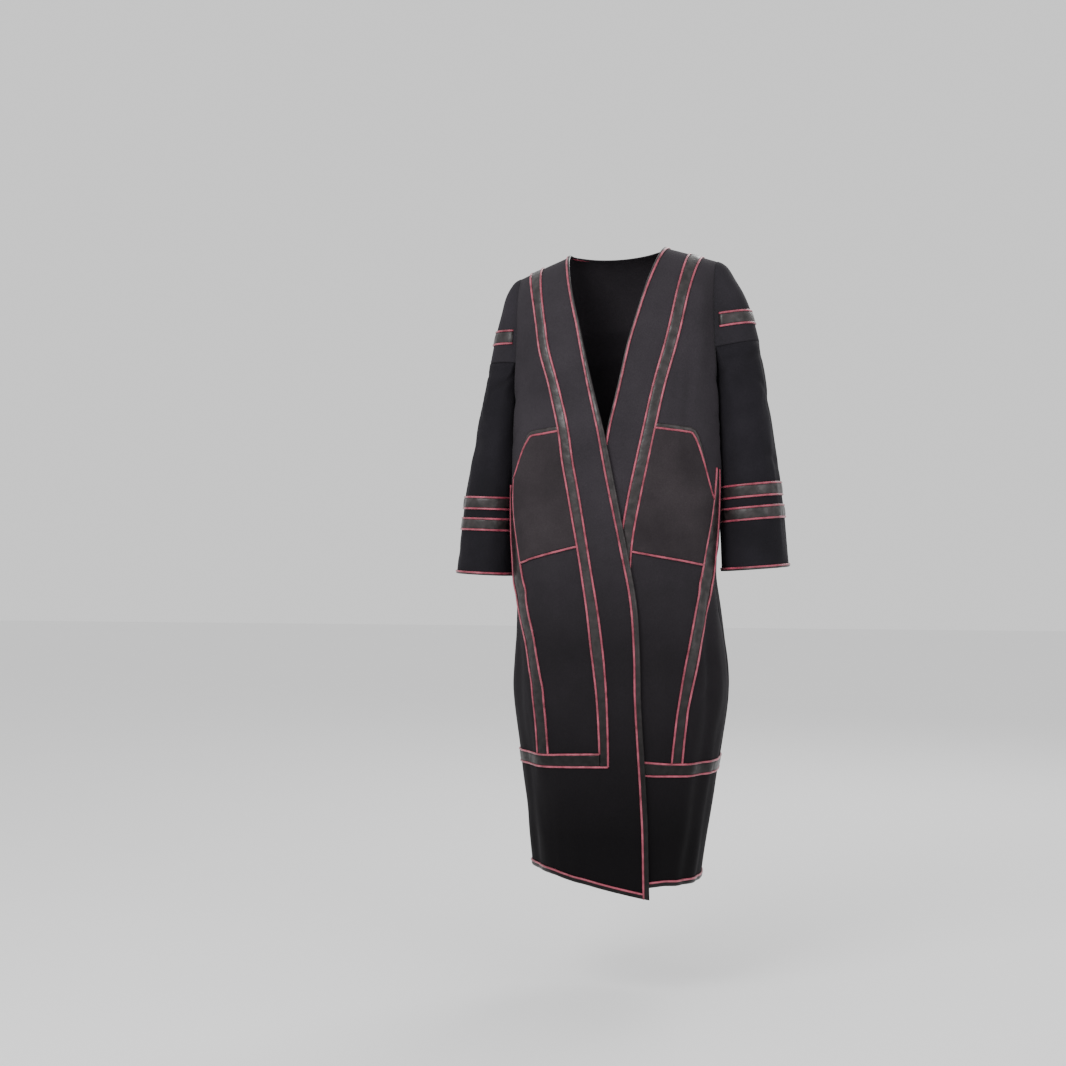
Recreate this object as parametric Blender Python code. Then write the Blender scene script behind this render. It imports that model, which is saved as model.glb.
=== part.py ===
"""A long open-front robe in its worn form, cloth panels with satin bands and piping.

Metres, +Z up. The front faces -Y and the wearer's left is +X. The origin lies between the
shoulders at the height of the neck. The wearer's right front laps over the left one.
"""
import math

import bpy
from mathutils import Vector

# Cloth and trim
WALL = 0.0020
GAP = 0.0003
REST = 0.0005
TRIM = 0.0015
PIPING_HALF = 0.0016
PIPING_HEIGHT = 0.0026
NECK_BINDING = 0.007
POCKET_BINDING = 0.0105
BINDING_TAPER = 0.7
TAPER_FROM = 0.6
PIPED = PIPING_HALF + GAP

# Shoulder line
YOKE = -0.159
RIDGE_Y = 0.012
NECK_HALF = 0.098
NECK_Z = -0.006
SHOULDER_FALL = 0.35
FOLD_START = 0.205
BACK_NECK_DEPTH = 0.056
YOKE_ROUNDNESS = 2.2

# Worn form
ROUNDNESS = 2.5
FOLD_DIP = 0.010
FOLD_WIDTH = 0.014
LAST_FOLD_TURN = math.radians(75)
BACK_DRAW = 0.07
BACK_DRAW_TOP, BACK_DRAW_FULL = -0.226, -0.340
TUCK_POWER = 0.85
NECK_LIFT = 0.0018
SLANT_LIFT = 0.0010
FOLD_LIFT = 0.0009
DIP_FOOT, DIP_FULL = -0.66, -0.50
DIP_LIMIT = 0.5
LAP_LIFT = 0.0068
LAP_FROM, LAP_WHOLE = 0.150, 0.098
LAP_TOP, LAP_FULL = -0.30, -0.38
LEAN = 0.06
LEAN_FOOT, LEAN_FULL = -0.95, -0.45
HEM_TILT = 0.05
TILT_TOP, TILT_FULL = -1.08, -1.28
BIAS_POWER = 4

# Right arm -1 and left arm +1: rise of the sleeve's rings and of the cap's lines towards the
# outside, and how much lower the sleeve hangs
SLEEVE_TILTS = {-1: 0.090, 1: 0.035}
CAP_TILTS = {-1: 0.090, 1: 0.130}
SLEEVE_DROPS = {-1: -0.003, 1: 0.007}

# One row a height: half width, depth before and behind the shoulder plane, how far the section
# sits towards the wearer's left, how far the side tucks in behind the arm, and how far the
# sides alone sit towards the wearer's left
BODY_COLUMNS = ("z", "half_width", "front", "back", "sway", "tuck", "bias")
BODY = (
    (-0.159, 0.2350, 0.120, 0.112, 0.004, 0.066, 0.000),
    (-0.220, 0.2310, 0.135, 0.124, 0.004, 0.060, 0.001),
    (-0.360, 0.2290, 0.150, 0.130, 0.004, 0.052, 0.002),
    (-0.520, 0.2310, 0.158, 0.136, 0.003, 0.050, 0.003),
    (-0.660, 0.2250, 0.162, 0.146, 0.003, 0.036, 0.002),
    (-0.800, 0.2225, 0.166, 0.158, 0.007, 0.008, 0.000),
    (-0.910, 0.2235, 0.168, 0.165, 0.010, 0.000, -0.001),
    (-1.040, 0.2075, 0.160, 0.160, 0.008, 0.000, 0.000),
    (-1.160, 0.1910, 0.150, 0.148, 0.004, 0.000, 0.000),
    (-1.330, 0.1690, 0.140, 0.136, 0.000, 0.000, 0.000),
)

# One row a soft fold of the skirt: front -1 or back +1, its turn round the section in degrees
# with the wearer's left positive, how far the turn drifts down to its foot, its upper and lower
# end, its half width in degrees and its depth, which is negative for a ridge. A foot below
# OPEN_FOOT runs out through the hem, and any other end fades over FOLD_FADE
FOLD_COLUMNS = ("face", "turn", "drift", "top", "foot", "half_width", "depth")
FOLDS = (
    (-1, -63, 4, -0.74, -1.30, 9, 0.0060),
    (-1, -41, 3, -0.70, -1.18, 8, -0.0035),
    (-1, 34, -3, -0.66, -1.10, 8, 0.0050),
    (-1, 47, -2, -0.76, -1.33, 8, -0.0040),
    (-1, 62, -5, -0.70, -1.26, 8, 0.0065),
    (1, -64, 4, -0.70, -1.33, 9, 0.0070),
    (1, -43, 5, -0.42, -1.33, 9, -0.0080),
    (1, -24, 2, -0.30, -1.20, 9, 0.0090),
    (1, -5, -3, -0.55, -1.33, 8, -0.0060),
    (1, 13, 2, -0.34, -1.33, 8, 0.0085),
    (1, 33, -2, -0.48, -1.15, 9, -0.0075),
    (1, 52, -5, -0.40, -1.33, 8, 0.0080),
    (1, 68, -3, -0.72, -1.20, 8, -0.0050),
)
FOLD_FADE = 0.14
OPEN_FOOT = -1.30

# One row a crease of a sleeve: side, turn round it in degrees from the outside towards the
# back, height, half height, half turn in degrees, slant in metres a degree, depth
CREASE_COLUMNS = ("side", "turn", "z", "half_height", "half_turn", "slant", "depth")
CREASES = (
    (-1, -70, -0.300, 0.020, 45, 0.0004, 0.0050),
    (-1, -55, -0.385, 0.022, 40, -0.0003, 0.0040),
    (-1, 80, -0.345, 0.024, 45, -0.0005, 0.0060),
    (-1, 60, -0.440, 0.020, 40, 0.0004, 0.0045),
    (1, -75, -0.290, 0.020, 40, 0.0005, 0.0045),
    (1, -50, -0.350, 0.022, 45, 0.0004, 0.0050),
    (1, -80, -0.430, 0.020, 40, -0.0004, 0.0040),
    (1, 70, -0.315, 0.022, 45, 0.0004, 0.0055),
    (1, 85, -0.410, 0.022, 45, -0.0005, 0.0060),
)

# One row a height: distance of each line of a front from the middle, towards its own side
LINE_COLUMNS = ("z", "edge", "piping", "band_inner", "band_outer", "side_inner", "side_outer")
RIGHT_LINES = (
    (0.000, 0.098, 0.104, 0.159, 0.183, 0.194, 0.205),
    (-0.100, 0.0785, 0.084, 0.144, 0.165, 0.189, 0.205),
    (-0.200, 0.0550, 0.0625, 0.129, 0.149, 0.190, 0.206),
    (-0.300, 0.0305, 0.041, 0.101, 0.121, 0.194, 0.211),
    (-0.380, 0.0085, 0.021, 0.081, 0.102, 0.2010, 0.2145),
    (-0.440, -0.0045, 0.0095, 0.071, 0.093, 0.2060, 0.2165),
    (-0.520, -0.021, -0.007, 0.0555, 0.077, 0.2060, 0.2185),
    (-0.610, -0.039, -0.026, 0.040, 0.060, 0.1930, 0.2150),
    (-0.720, -0.058, -0.046, 0.023, 0.044, 0.1750, 0.2000),
    (-0.820, -0.063, -0.051, 0.012, 0.035, 0.152, 0.176),
    (-0.920, -0.063, -0.051, 0.006, 0.0255, 0.138, 0.160),
    (-1.030, -0.070, -0.058, 0.002, 0.019, 0.127, 0.149),
    (-1.180, -0.081, -0.069, 0.000, 0.017, 0.118, 0.139),
    (-1.330, -0.0865, -0.0745, -0.002, 0.015, 0.109, 0.129),
)
LEFT_LINES = (
    (0.000, 0.098, 0.105, 0.151, 0.175, 0.192, 0.205),
    (-0.100, 0.0670, 0.0720, 0.134, 0.157, 0.187, 0.205),
    (-0.200, 0.0380, 0.0430, 0.115, 0.138, 0.189, 0.206),
    (-0.300, 0.0165, 0.0215, 0.089, 0.112, 0.194, 0.211),
    (-0.380, -0.0020, 0.0030, 0.072, 0.095, 0.2010, 0.2145),
    (-0.440, -0.0130, -0.0070, 0.059, 0.083, 0.2095, 0.2130),
    (-0.520, -0.0260, -0.0180, 0.0425, 0.067, 0.2070, 0.2140),
    (-0.610, -0.042, -0.030, 0.028, 0.051, 0.1960, 0.2105),
    (-0.720, -0.059, -0.047, 0.019, 0.042, 0.1775, 0.2000),
    (-0.820, -0.064, -0.052, 0.012, 0.035, 0.1575, 0.1785),
    (-0.920, -0.066, -0.054, 0.005, 0.028, 0.1395, 0.157),
    (-1.030, -0.072, -0.060, 0.000, 0.023, 0.126, 0.144),
    (-1.180, -0.079, -0.067, -0.002, 0.021, 0.117, 0.1345),
    (-1.330, -0.083, -0.071, -0.004, 0.019, 0.107, 0.123),
)
FRONT_LINES = {-1: RIGHT_LINES, 1: LEFT_LINES}

# One row a crossing line: the number of steps up to the next line, and its height at the side
# band, at the pocket corner, at the front band and at the edge
STATIONS = ("side", "corner", "band", "edge")
LEVEL_COLUMNS = ("name", "steps") + STATIONS
RIGHT_LEVELS = (
    ("hem", 1, -1.285, -1.291, -1.302, -1.320),
    ("hem_piping", 4, -1.275, -1.281, -1.292, -1.310),
    ("band_bottom", 1, -1.061, -1.059, -1.056, -1.055),
    ("band_top", 8, -1.037, -1.034, -1.030, -1.029),
    ("pocket_bottom", 5, -0.645, -0.634, -0.614, -0.604),
    ("pocket_top", 5, -0.480, -0.384, -0.379, -0.372),
    ("underarm", 2, -0.226, -0.226, -0.226, -0.226),
    ("cap_band_bottom", 1, -0.186, -0.186, -0.186, -0.186),
    ("yoke", 6, YOKE, YOKE, YOKE, YOKE),
    ("ridge", 0, 0.0, 0.0, 0.0, 0.0),
)
LEFT_LEVELS = (
    ("hem", 1, -1.291, -1.297, -1.298, -1.290),
    ("hem_piping", 4, -1.281, -1.287, -1.288, -1.280),
    ("band_bottom", 1, -1.075, -1.074, -1.069, -1.066),
    ("band_top", 8, -1.051, -1.048, -1.042, -1.039),
    ("pocket_bottom", 5, -0.661, -0.650, -0.629, -0.619),
    ("pocket_top", 5, -0.538, -0.399, -0.386, -0.378),
    ("underarm", 2, -0.226, -0.226, -0.226, -0.226),
    ("cap_band_bottom", 1, -0.186, -0.186, -0.186, -0.186),
    ("yoke", 6, YOKE, YOKE, YOKE, YOKE),
    ("ridge", 0, 0.0, 0.0, 0.0, 0.0),
)
FRONT_LEVELS = {-1: RIGHT_LEVELS, 1: LEFT_LEVELS}

# The pocket's corner, as a share of the way from the front band to the side band, and how far
# the crossing lines are rounded there
CORNER_SHARES = {-1: 0.75, 1: 0.68}
CORNER_ROUNDS = {-1: 0.014, 1: 0.004}
ROUND_SAMPLES = (-1.0, -0.5, 0.0, 0.5, 1.0)

# Steps across a front between its lines, and across half the back as shares of the fold line
FACING_STEPS = 3
POCKET_STEPS = 4
SIDE_STEPS = 3
SETTLE_STEPS = 12
BACK_SHARES = (1.0, 0.79, 0.60, NECK_HALF / FOLD_START, 0.445, 0.37, 0.22, 0.0)
NECK_COLUMN = 3

# One row a height: how far the shoulder and upper arm reach out, and how much further on the
# left side and less on the right
OUTER_COLUMNS = ("z", "reach", "shift")
OUTER = (
    (-0.043, 0.2065, 0.000),
    (-0.050, 0.2180, 0.000),
    (-0.060, 0.2270, 0.001),
    (-0.085, 0.2400, 0.002),
    (-0.120, 0.2535, 0.007),
    (-0.160, 0.2660, 0.009),
    (-0.226, 0.2810, 0.010),
)

# One row a height: the sleeve's outer reach, its deepest line, its inner reach and its depths,
# and how much further it reaches on the left side and less on the right
SLEEVE_COLUMNS = ("z", "outer", "hinge", "inner", "front", "back", "shift")
SLEEVE = (
    (-0.219, 0.2810, 0.2060, 0.1990, 0.066, 0.060, 0.0100),
    (-0.260, 0.2890, 0.2260, 0.1990, 0.070, 0.070, 0.0100),
    (-0.320, 0.3000, 0.2430, 0.2010, 0.075, 0.080, 0.0090),
    (-0.420, 0.3160, 0.2590, 0.2040, 0.080, 0.088, 0.0070),
    (-0.500, 0.3290, 0.2680, 0.2070, 0.083, 0.092, 0.0065),
    (-0.600, 0.3400, 0.2760, 0.2110, 0.086, 0.095, 0.0060),
    (-0.690, 0.3490, 0.2830, 0.2150, 0.088, 0.098, 0.0060),
)
SLEEVE_LEVEL_COLUMNS = ("name", "z", "steps")
SLEEVE_LEVELS = (
    ("cuff", -0.664, 1),
    ("cuff_piping", -0.659, 3),
    ("lower_bottom", -0.567, 1),
    ("lower_top", -0.5435, 1),
    ("upper_bottom", -0.5226, 1),
    ("upper_top", -0.4988, 6),
    ("seam", -0.219, 0),
)
ARC_STEPS = 10
ARC_ROUNDNESS = 2.4
INNER_ROUNDNESS = 2.0
UNDERARM_REACH = 0.008
FOLD_CLEARANCE = 0.0018
BLEND_ROWS = 3

# Trim: how round a piping's back is, and how far the ends of bands run under or over a
# crossing piping
CROWN_SHARE = 0.55
HEM_BAND_REACH = 0.0013
FRONT_PIPING_REACH = 0.0010
SHARP_ANGLE = math.radians(40)

# Finishes: colour, roughness
CLOTH = ("body_cloth", (0.032, 0.029, 0.034), 0.82)
SATIN = ("satin_band", (0.050, 0.052, 0.050), 0.42)
PIPING = ("piping", (0.56, 0.07, 0.13), 0.55)


def clear_scene():
    """Remove every object, so that only the robe is left."""
    for item in list(bpy.data.objects):
        bpy.data.objects.remove(item, do_unlink=True)


def make_material(finish):
    """A plain Principled material of one finish."""
    name, colour, roughness = finish
    material = bpy.data.materials.new(name)
    material.use_nodes = True
    shader = material.node_tree.nodes["Principled BSDF"]
    shader.inputs["Base Color"].default_value = (*colour, 1.0)
    shader.inputs["Roughness"].default_value = roughness
    shader.inputs["Metallic"].default_value = 0.0
    return material


def smoothstep(low, high, value):
    """0 at low, 1 at high, with level ends."""
    t = min(max((value - low) / (high - low), 0.0), 1.0)
    return t * t * (3.0 - 2.0 * t)


def named_rows(table, columns):
    """The rows of a table with their columns by name."""
    return [dict(zip(columns, row)) for row in table]


def read_table(table, columns, column, z):
    """A column of a table at height z, on a smooth curve through its rows from the top down."""
    place = columns.index(column)
    if z >= table[0][0]:
        return table[0][place]
    if z <= table[-1][0]:
        return table[-1][place]
    row = next(k for k in range(len(table) - 1) if table[k + 1][0] <= z)

    def slope(k):
        low = max(k - 1, 0)
        high = min(k + 1, len(table) - 1)
        return (table[high][place] - table[low][place]) / (table[high][0] - table[low][0])

    start, end = table[row], table[row + 1]
    span = end[0] - start[0]
    t = (z - start[0]) / span
    return (
        start[place] * (1 + 2 * t) * (1 - t) ** 2
        + slope(row) * span * t * (1 - t) ** 2
        + end[place] * t * t * (3 - 2 * t)
        - slope(row + 1) * span * t * t * (1 - t)
    )


def body(column, z):
    """One column of the body's sections."""
    return read_table(BODY, BODY_COLUMNS, column, min(z, YOKE))


def fold_reach(z, face):
    """How far out the cloth folds in behind the arm, before it or behind it."""
    reach = read_table(RIGHT_LINES, LINE_COLUMNS, "side_outer", z)
    if face > 0:
        reach *= 1.0 - BACK_DRAW * smoothstep(BACK_DRAW_TOP, BACK_DRAW_FULL, z)
    return reach


def pose(point):
    """The stance of the whole robe: one shoulder lower, the skirt a little to one side."""
    x, y, z = point
    lean = LEAN * smoothstep(LEAN_FOOT, LEAN_FULL, z)
    lean -= HEM_TILT * smoothstep(TILT_TOP, TILT_FULL, z)
    return Vector((x + body("sway", z), y, z + lean * x))


def ridge_height(reach):
    """Height of the shoulder line at a distance from the middle."""
    return NECK_Z - SHOULDER_FALL * (max(reach, NECK_HALF) - NECK_HALF)


def turn_at(reach, z):
    """The angle round the section where its width is reach."""
    share = min(abs(reach) / body("half_width", z), 1.0)
    return math.copysign(math.asin(share ** (ROUNDNESS / 2)), reach)


def fold_depth(turn, z, face):
    """How far the folds draw the cloth in at a turn and a height."""
    total = 0.0
    for fold in named_rows(FOLDS, FOLD_COLUMNS):
        top, foot = fold["top"], fold["foot"]
        if fold["face"] != face or z > top:
            continue
        middle = fold["turn"] + fold["drift"] * (top - z) / (top - foot)
        spread = (math.degrees(turn) - middle) / fold["half_width"]
        ends = smoothstep(top, top - FOLD_FADE, z)
        if foot > OPEN_FOOT:
            ends *= smoothstep(foot - FOLD_FADE, foot + FOLD_FADE, z)
        total += fold["depth"] * ends * math.exp(-spread * spread)
    return total


def body_point(turn, height, face, top=1.0):
    """A point of the body's outer surface, before the stance is put on.

    turn runs from 0 at the middle to a right angle at the side seam. Above YOKE the height
    runs on to 0 at the shoulder line, and top says how far up a column goes there.
    """
    level = min(height, YOKE)
    around, ahead = abs(math.sin(turn)), max(math.cos(turn), 0.0)
    reach = body("half_width", level) * around ** (2 / ROUNDNESS)
    depth = body("front" if face < 0 else "back", level) * ahead ** (2 / ROUNDNESS)
    fold = fold_reach(level, face)
    fold_turn = min(turn_at(fold, level), LAST_FOLD_TURN)
    behind = max(abs(turn) - fold_turn, 0.0) / (math.pi / 2 - fold_turn)
    dip = FOLD_DIP * math.exp(-(((reach - fold) / FOLD_WIDTH) ** 2))
    dip *= smoothstep(DIP_FOOT, DIP_FULL, level) * (1.0 - behind)
    depth = depth - min(dip, DIP_LIMIT * depth)
    reach -= body("tuck", level) * behind ** TUCK_POWER
    drawn = fold_depth(turn, level, face)
    reach -= drawn * around
    depth -= drawn * ahead
    x = math.copysign(reach, turn) + body("bias", level) * around ** BIAS_POWER
    if height <= YOKE:
        return Vector((x, face * depth, height))
    rise = (height - YOKE) / -YOKE * top
    back_off = max(1.0 - rise ** YOKE_ROUNDNESS, 0.0) ** (1 / YOKE_ROUNDNESS)
    z = YOKE + (ridge_height(reach) - YOKE) * rise
    return Vector((x, RIDGE_Y + (face * depth - RIDGE_Y) * back_off, z))


def level_rows(side):
    """The heights of every row at the four stations, and the row number of each named line.

    side is -1 for the right front, which laps over, and +1 for the left one.
    """
    rows, numbers = [], {}
    levels = named_rows(FRONT_LEVELS[side], LEVEL_COLUMNS)
    for low, high in zip(levels, levels[1:] + levels[-1:]):
        numbers[low["name"]] = len(rows)
        steps = max(low["steps"], 1)
        for step in range(steps):
            share = step / steps
            if low["name"] == "yoke":
                share = math.sin(share * math.pi / 2)
            rows.append({k: low[k] + (high[k] - low[k]) * share for k in STATIONS})
    return rows, numbers


def station_height(stations, reach, reaches, side):
    """The height of a row at a distance from the middle, rounded between its four stations."""
    edge, outer, inner = (reaches[FRONT_LINE[k]] for k in ("edge", "band_outer", "side_inner"))
    places = (inner, outer + (inner - outer) * CORNER_SHARES[side], outer, edge)
    total = 0.0
    for sample in ROUND_SAMPLES:
        here = reach + sample * CORNER_ROUNDS[side]
        height = stations["side"]
        for k in range(3):
            share = min(max((places[k] - here) / (places[k] - places[k + 1]), 0.0), 1.0)
            height += (stations[STATIONS[k + 1]] - stations[STATIONS[k]]) * share
        total += height
    return total / len(ROUND_SAMPLES)


def front_reaches(z, side):
    """How far each column of a front lies from the middle at height z, edge first."""
    edge, piping, inner, outer, side_inner, side_outer = (
        read_table(FRONT_LINES[side], LINE_COLUMNS, name, z) for name in LINE_COLUMNS[1:]
    )
    reaches = [edge, piping]
    reaches += [piping + (inner - piping) * k / FACING_STEPS for k in range(1, FACING_STEPS)]
    reaches += [inner, outer]
    reaches += [outer + (side_inner - outer) * k / POCKET_STEPS for k in range(1, POCKET_STEPS)]
    reaches += [side_inner, side_outer]
    return reaches


FRONT_LINE = {
    "edge": 0,
    "piping": 1,
    "band_inner": 1 + FACING_STEPS,
    "band_outer": 2 + FACING_STEPS,
    "side_inner": 2 + FACING_STEPS + POCKET_STEPS,
    "side_outer": 3 + FACING_STEPS + POCKET_STEPS,
    "seam": 3 + FACING_STEPS + POCKET_STEPS + SIDE_STEPS,
}


def front_grid(side):
    """The outer points of one front, a row a level, each from its edge to the side seam."""
    rows, _ = level_rows(side)
    grid = []
    for stations in rows:
        line = []
        for column in range(FRONT_LINE["side_outer"] + 1):
            z = stations["band"]
            for _ in range(SETTLE_STEPS):
                reaches = front_reaches(z, side)
                reach = reaches[column]
                z = station_height(stations, reach, reaches, side)
            point = body_point(side * turn_at(reach, z), z, -1)
            if side < 0:
                lift = smoothstep(LAP_FROM, LAP_WHOLE, reach) * smoothstep(LAP_TOP, LAP_FULL, z)
                point.y -= LAP_LIFT * lift
            line.append(point)
        turn = turn_at(reach, stations["side"])
        for step in range(1, SIDE_STEPS + 1):
            round_turn = turn + (math.pi / 2 - turn) * step / SIDE_STEPS
            line.append(body_point(side * round_turn, stations["side"], -1))
        grid.append([pose(point) for point in line])
    return grid


def back_grid():
    """The outer points of the back, from the right side seam to the left one."""
    grid = []
    for right_row, left_row in zip(level_rows(-1)[0], level_rows(1)[0]):
        halves = []
        middle = (right_row["side"] + left_row["side"]) / 2
        for side, start in ((-1, right_row["side"]), (1, left_row["side"])):
            count = SIDE_STEPS + len(BACK_SHARES)
            heights = [start + (middle - start) * k / (count - 1) for k in range(count)]
            turn = turn_at(fold_reach(start, 1), start)
            turns = [math.pi / 2 + (turn - math.pi / 2) * k / SIDE_STEPS for k in range(SIDE_STEPS)]
            tops = [1.0] * SIDE_STEPS
            for share, z in zip(BACK_SHARES, heights[SIDE_STEPS:]):
                reach = fold_reach(z, 1) * share
                inside = max(1.0 - (reach / NECK_HALF) ** 2, 0.0) if z > YOKE else 0.0
                turns.append(turn_at(reach, z))
                tops.append(1.0 - BACK_NECK_DEPTH * inside)
            halves.append([body_point(side * a, z, 1, top)
                           for a, z, top in zip(turns, heights, tops)])
        grid.append([pose(point) for point in halves[0] + halves[1][-2::-1]])
    return grid


def surface_normals(grid, closed=False):
    """A unit normal at each point of a grid, from its neighbours, before the sign is chosen."""
    last_row, last = len(grid) - 1, len(grid[0]) - 1
    normals = []
    for i, line in enumerate(grid):
        out = []
        for j in range(len(line)):
            up = grid[min(i + 1, last_row)][j] - grid[max(i - 1, 0)][j]
            if closed:
                along = line[(j + 1) % (last + 1)] - line[j - 1]
            else:
                along = line[min(j + 1, last)] - line[max(j - 1, 0)]
            out.append(along.cross(up).normalized())
        normals.append(out)
    return normals


def outward(grid, normals, middle):
    """Turn the normals of a grid so that they point away from an upright line through middle."""
    i, j = len(grid) // 3, len(grid[0]) // 2
    away = grid[i][j] - middle
    away.z = 0.0
    if normals[i][j].dot(away) < 0:
        return [[-n for n in line] for line in normals]
    return normals


def moved(start, towards, distance):
    """A point moved a distance towards another one."""
    return start + (towards - start).normalized() * distance


class Builder:
    """Holds the parent, the materials and the objects made."""

    def __init__(self):
        self.root = bpy.data.objects.new("robe", None)
        bpy.context.collection.objects.link(self.root)
        self.materials = {finish[0]: make_material(finish) for finish in (CLOTH, SATIN, PIPING)}

    def add(self, name, corners, faces, finish):
        """One solid from points and triangles or quads, with coincident points joined."""
        seen, order, points = {}, [], []
        for corner in corners:
            key = (round(corner.x, 7), round(corner.y, 7), round(corner.z, 7))
            if key not in seen:
                seen[key] = len(points)
                points.append(corner)
            order.append(seen[key])
        kept = []
        for face in faces:
            ring = [order[k] for k in face]
            ring = [k for n, k in enumerate(ring) if k != ring[n - 1]]
            if len(set(ring)) >= 3:
                kept.append(ring)
        mesh = bpy.data.meshes.new(name)
        mesh.from_pydata([tuple(point) for point in points], [], kept)
        mesh.update()
        mesh.materials.append(self.materials[finish[0]])
        mesh.shade_smooth()
        mesh.set_sharp_from_angle(angle=SHARP_ANGLE)
        item = bpy.data.objects.new(name, mesh)
        bpy.context.collection.objects.link(item)
        item.parent = self.root
        return item


def shell(builder, name, grid, normals, cells, heights, margin, finish, closed=False):
    """A cloth wall over some cells of a grid, drawn in by a margin along its own edges.

    heights are the distances of its inner and outer faces from the grid, along the normals.
    """
    columns = len(grid[0])

    def cell(i, j):
        return (i, j % columns if closed else j) in cells

    def place(i, j):
        point = grid[i][j]
        step = Vector((0.0, 0.0, 0.0))
        after = cell(i - 1, j) + cell(i, j)
        before = cell(i - 1, j - 1) + cell(i, j - 1)
        above = cell(i, j - 1) + cell(i, j)
        below = cell(i - 1, j - 1) + cell(i - 1, j)
        if after != before:
            toward = j + 1 if after > before else j - 1
            other = grid[i][toward % columns if closed else toward]
            step += (other - point).normalized() * margin
        if above != below:
            other = grid[i + 1 if above > below else i - 1][j]
            step += (other - point).normalized() * margin
        return point + step

    corners, number = [], {}
    used = set()
    for i, j in cells:
        for a in (0, 1):
            for b in (0, 1):
                used.add((i + a, (j + b) % columns if closed else j + b))
    for i, j in sorted(used):
        base = place(i, j)
        number[(i, j)] = len(corners)
        corners.append(base + normals[i][j] * heights[1])
        corners.append(base + normals[i][j] * heights[0])

    faces = []

    def ring(i, j):
        return number[(i, j % columns if closed else j)]

    sample = sorted(cells)[len(cells) // 2]
    i, j = sample
    p00, p01, p10 = (corners[ring(*k)] for k in (sample, (i, j + 1), (i + 1, j)))
    flip = (p01 - p00).cross(p10 - p00).dot(normals[i][j]) < 0

    def face(a, b, c, d):
        for triangle in ((a, b, c), (a, c, d)):
            faces.append(triangle[::-1] if flip else triangle)

    for i, j in sorted(cells):
        a, b, c, d = ring(i, j), ring(i, j + 1), ring(i + 1, j + 1), ring(i + 1, j)
        face(a, b, c, d)
        face(a + 1, d + 1, c + 1, b + 1)
        if not cell(i - 1, j):
            face(a + 1, b + 1, b, a)
        if not cell(i + 1, j):
            face(c + 1, d + 1, d, c)
        if not cell(i, j - 1):
            face(d + 1, a + 1, a, d)
        if not cell(i, j + 1):
            face(b + 1, c + 1, c, b)
    return builder.add(name, corners, faces, finish)


def rail(grid, normals, path, across):
    """Stations along a line of a grid: the point, its neighbours on both sides, the normal.

    path lists the grid places, and across is the step in the grid from one side to the other.
    """
    stations = []
    rows, columns = len(grid), len(grid[0])
    for i, j in path:
        a, b = i - across[0], j - across[1]
        c, d = i + across[0], j + across[1]
        here = grid[i][j]
        before = grid[a][b] if 0 <= a < rows and 0 <= b < columns else None
        after = grid[c][d] if 0 <= c < rows and 0 <= d < columns else None
        if before is None:
            before = here * 2 - after
        if after is None:
            after = here * 2 - before
        stations.append((before, here, after, normals[i][j]))
    return stations


def trimmed(stations, start, end):
    """The same line with its ends drawn in, or run on where a distance is negative."""
    out = list(stations)
    for place, inward_place, distance in ((0, 1, start), (-1, -2, end)):
        if not distance:
            continue
        first, second = out[place], out[inward_place]
        share = distance / (second[1] - first[1]).length
        out[place] = tuple(a + (b - a) * share for a, b in zip(first, second))
    return out


def raised(stations, height):
    """The same line lifted off the grid."""
    return [tuple(p + s[3] * height for p in s[:3]) + (s[3],) for s in stations]


def strip(builder, name, stations, profile, finish, closed=False):
    """A strip along a line: profile lists distances across and heights, outside first."""
    sections = []
    for before, here, after, normal in stations:
        section = []
        for across, height in profile:
            base = moved(here, after if across > 0 else before, abs(across))
            section.append(base + normal * height)
        sections.append(section)
    return loft(builder, name, sections, finish, closed)


def loft(builder, name, sections, finish, closed):
    """A solid through closed sections, capped at both ends or run round into itself."""
    size = len(sections[0])
    corners = [point for section in sections for point in section]
    count = len(sections)
    faces = []
    for k in range(count if closed else count - 1):
        a, b = k * size, ((k + 1) % count) * size
        for m in range(size):
            n = (m + 1) % size
            faces.append((a + m, a + n, b + n))
            faces.append((a + m, b + n, b + m))
    if not closed:
        last = (count - 1) * size
        for m in range(1, size - 1):
            faces.append((0, m + 1, m))
            faces.append((last, last + m, last + m + 1))
    volume = 0.0
    for a, b, c in faces:
        volume += corners[a].dot(corners[b].cross(corners[c]))
    if volume < 0:
        faces = [face[::-1] for face in faces]
    return builder.add(name, corners, faces, finish)


def piping_profile():
    """A cord with a rounded back, as two low and two high corners."""
    crown = PIPING_HALF * CROWN_SHARE
    return (
        (-PIPING_HALF, REST),
        (PIPING_HALF, REST),
        (crown, REST + PIPING_HEIGHT),
        (-crown, REST + PIPING_HEIGHT),
    )


def tape(builder, name, lows, highs, margins, closed=False, lift=0.0):
    """A satin tape between two lines of a grid, drawn in from each by its own margin."""
    sections = []
    for first, second in zip(lows, highs):
        start = moved(first[1], second[1], margins[0])
        end = moved(second[1], first[1], margins[1])
        sections.append(tape_section(start, first[3], end, second[3], lift))
    return loft(builder, name, sections, SATIN, closed)


def tape_section(start, start_normal, end, end_normal, lift):
    """The four corners of a tape where it crosses from start to end."""
    low, high = REST + lift, REST + lift + TRIM
    return (
        start + start_normal * low,
        end + end_normal * low,
        end + end_normal * high,
        start + start_normal * high,
    )


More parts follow.
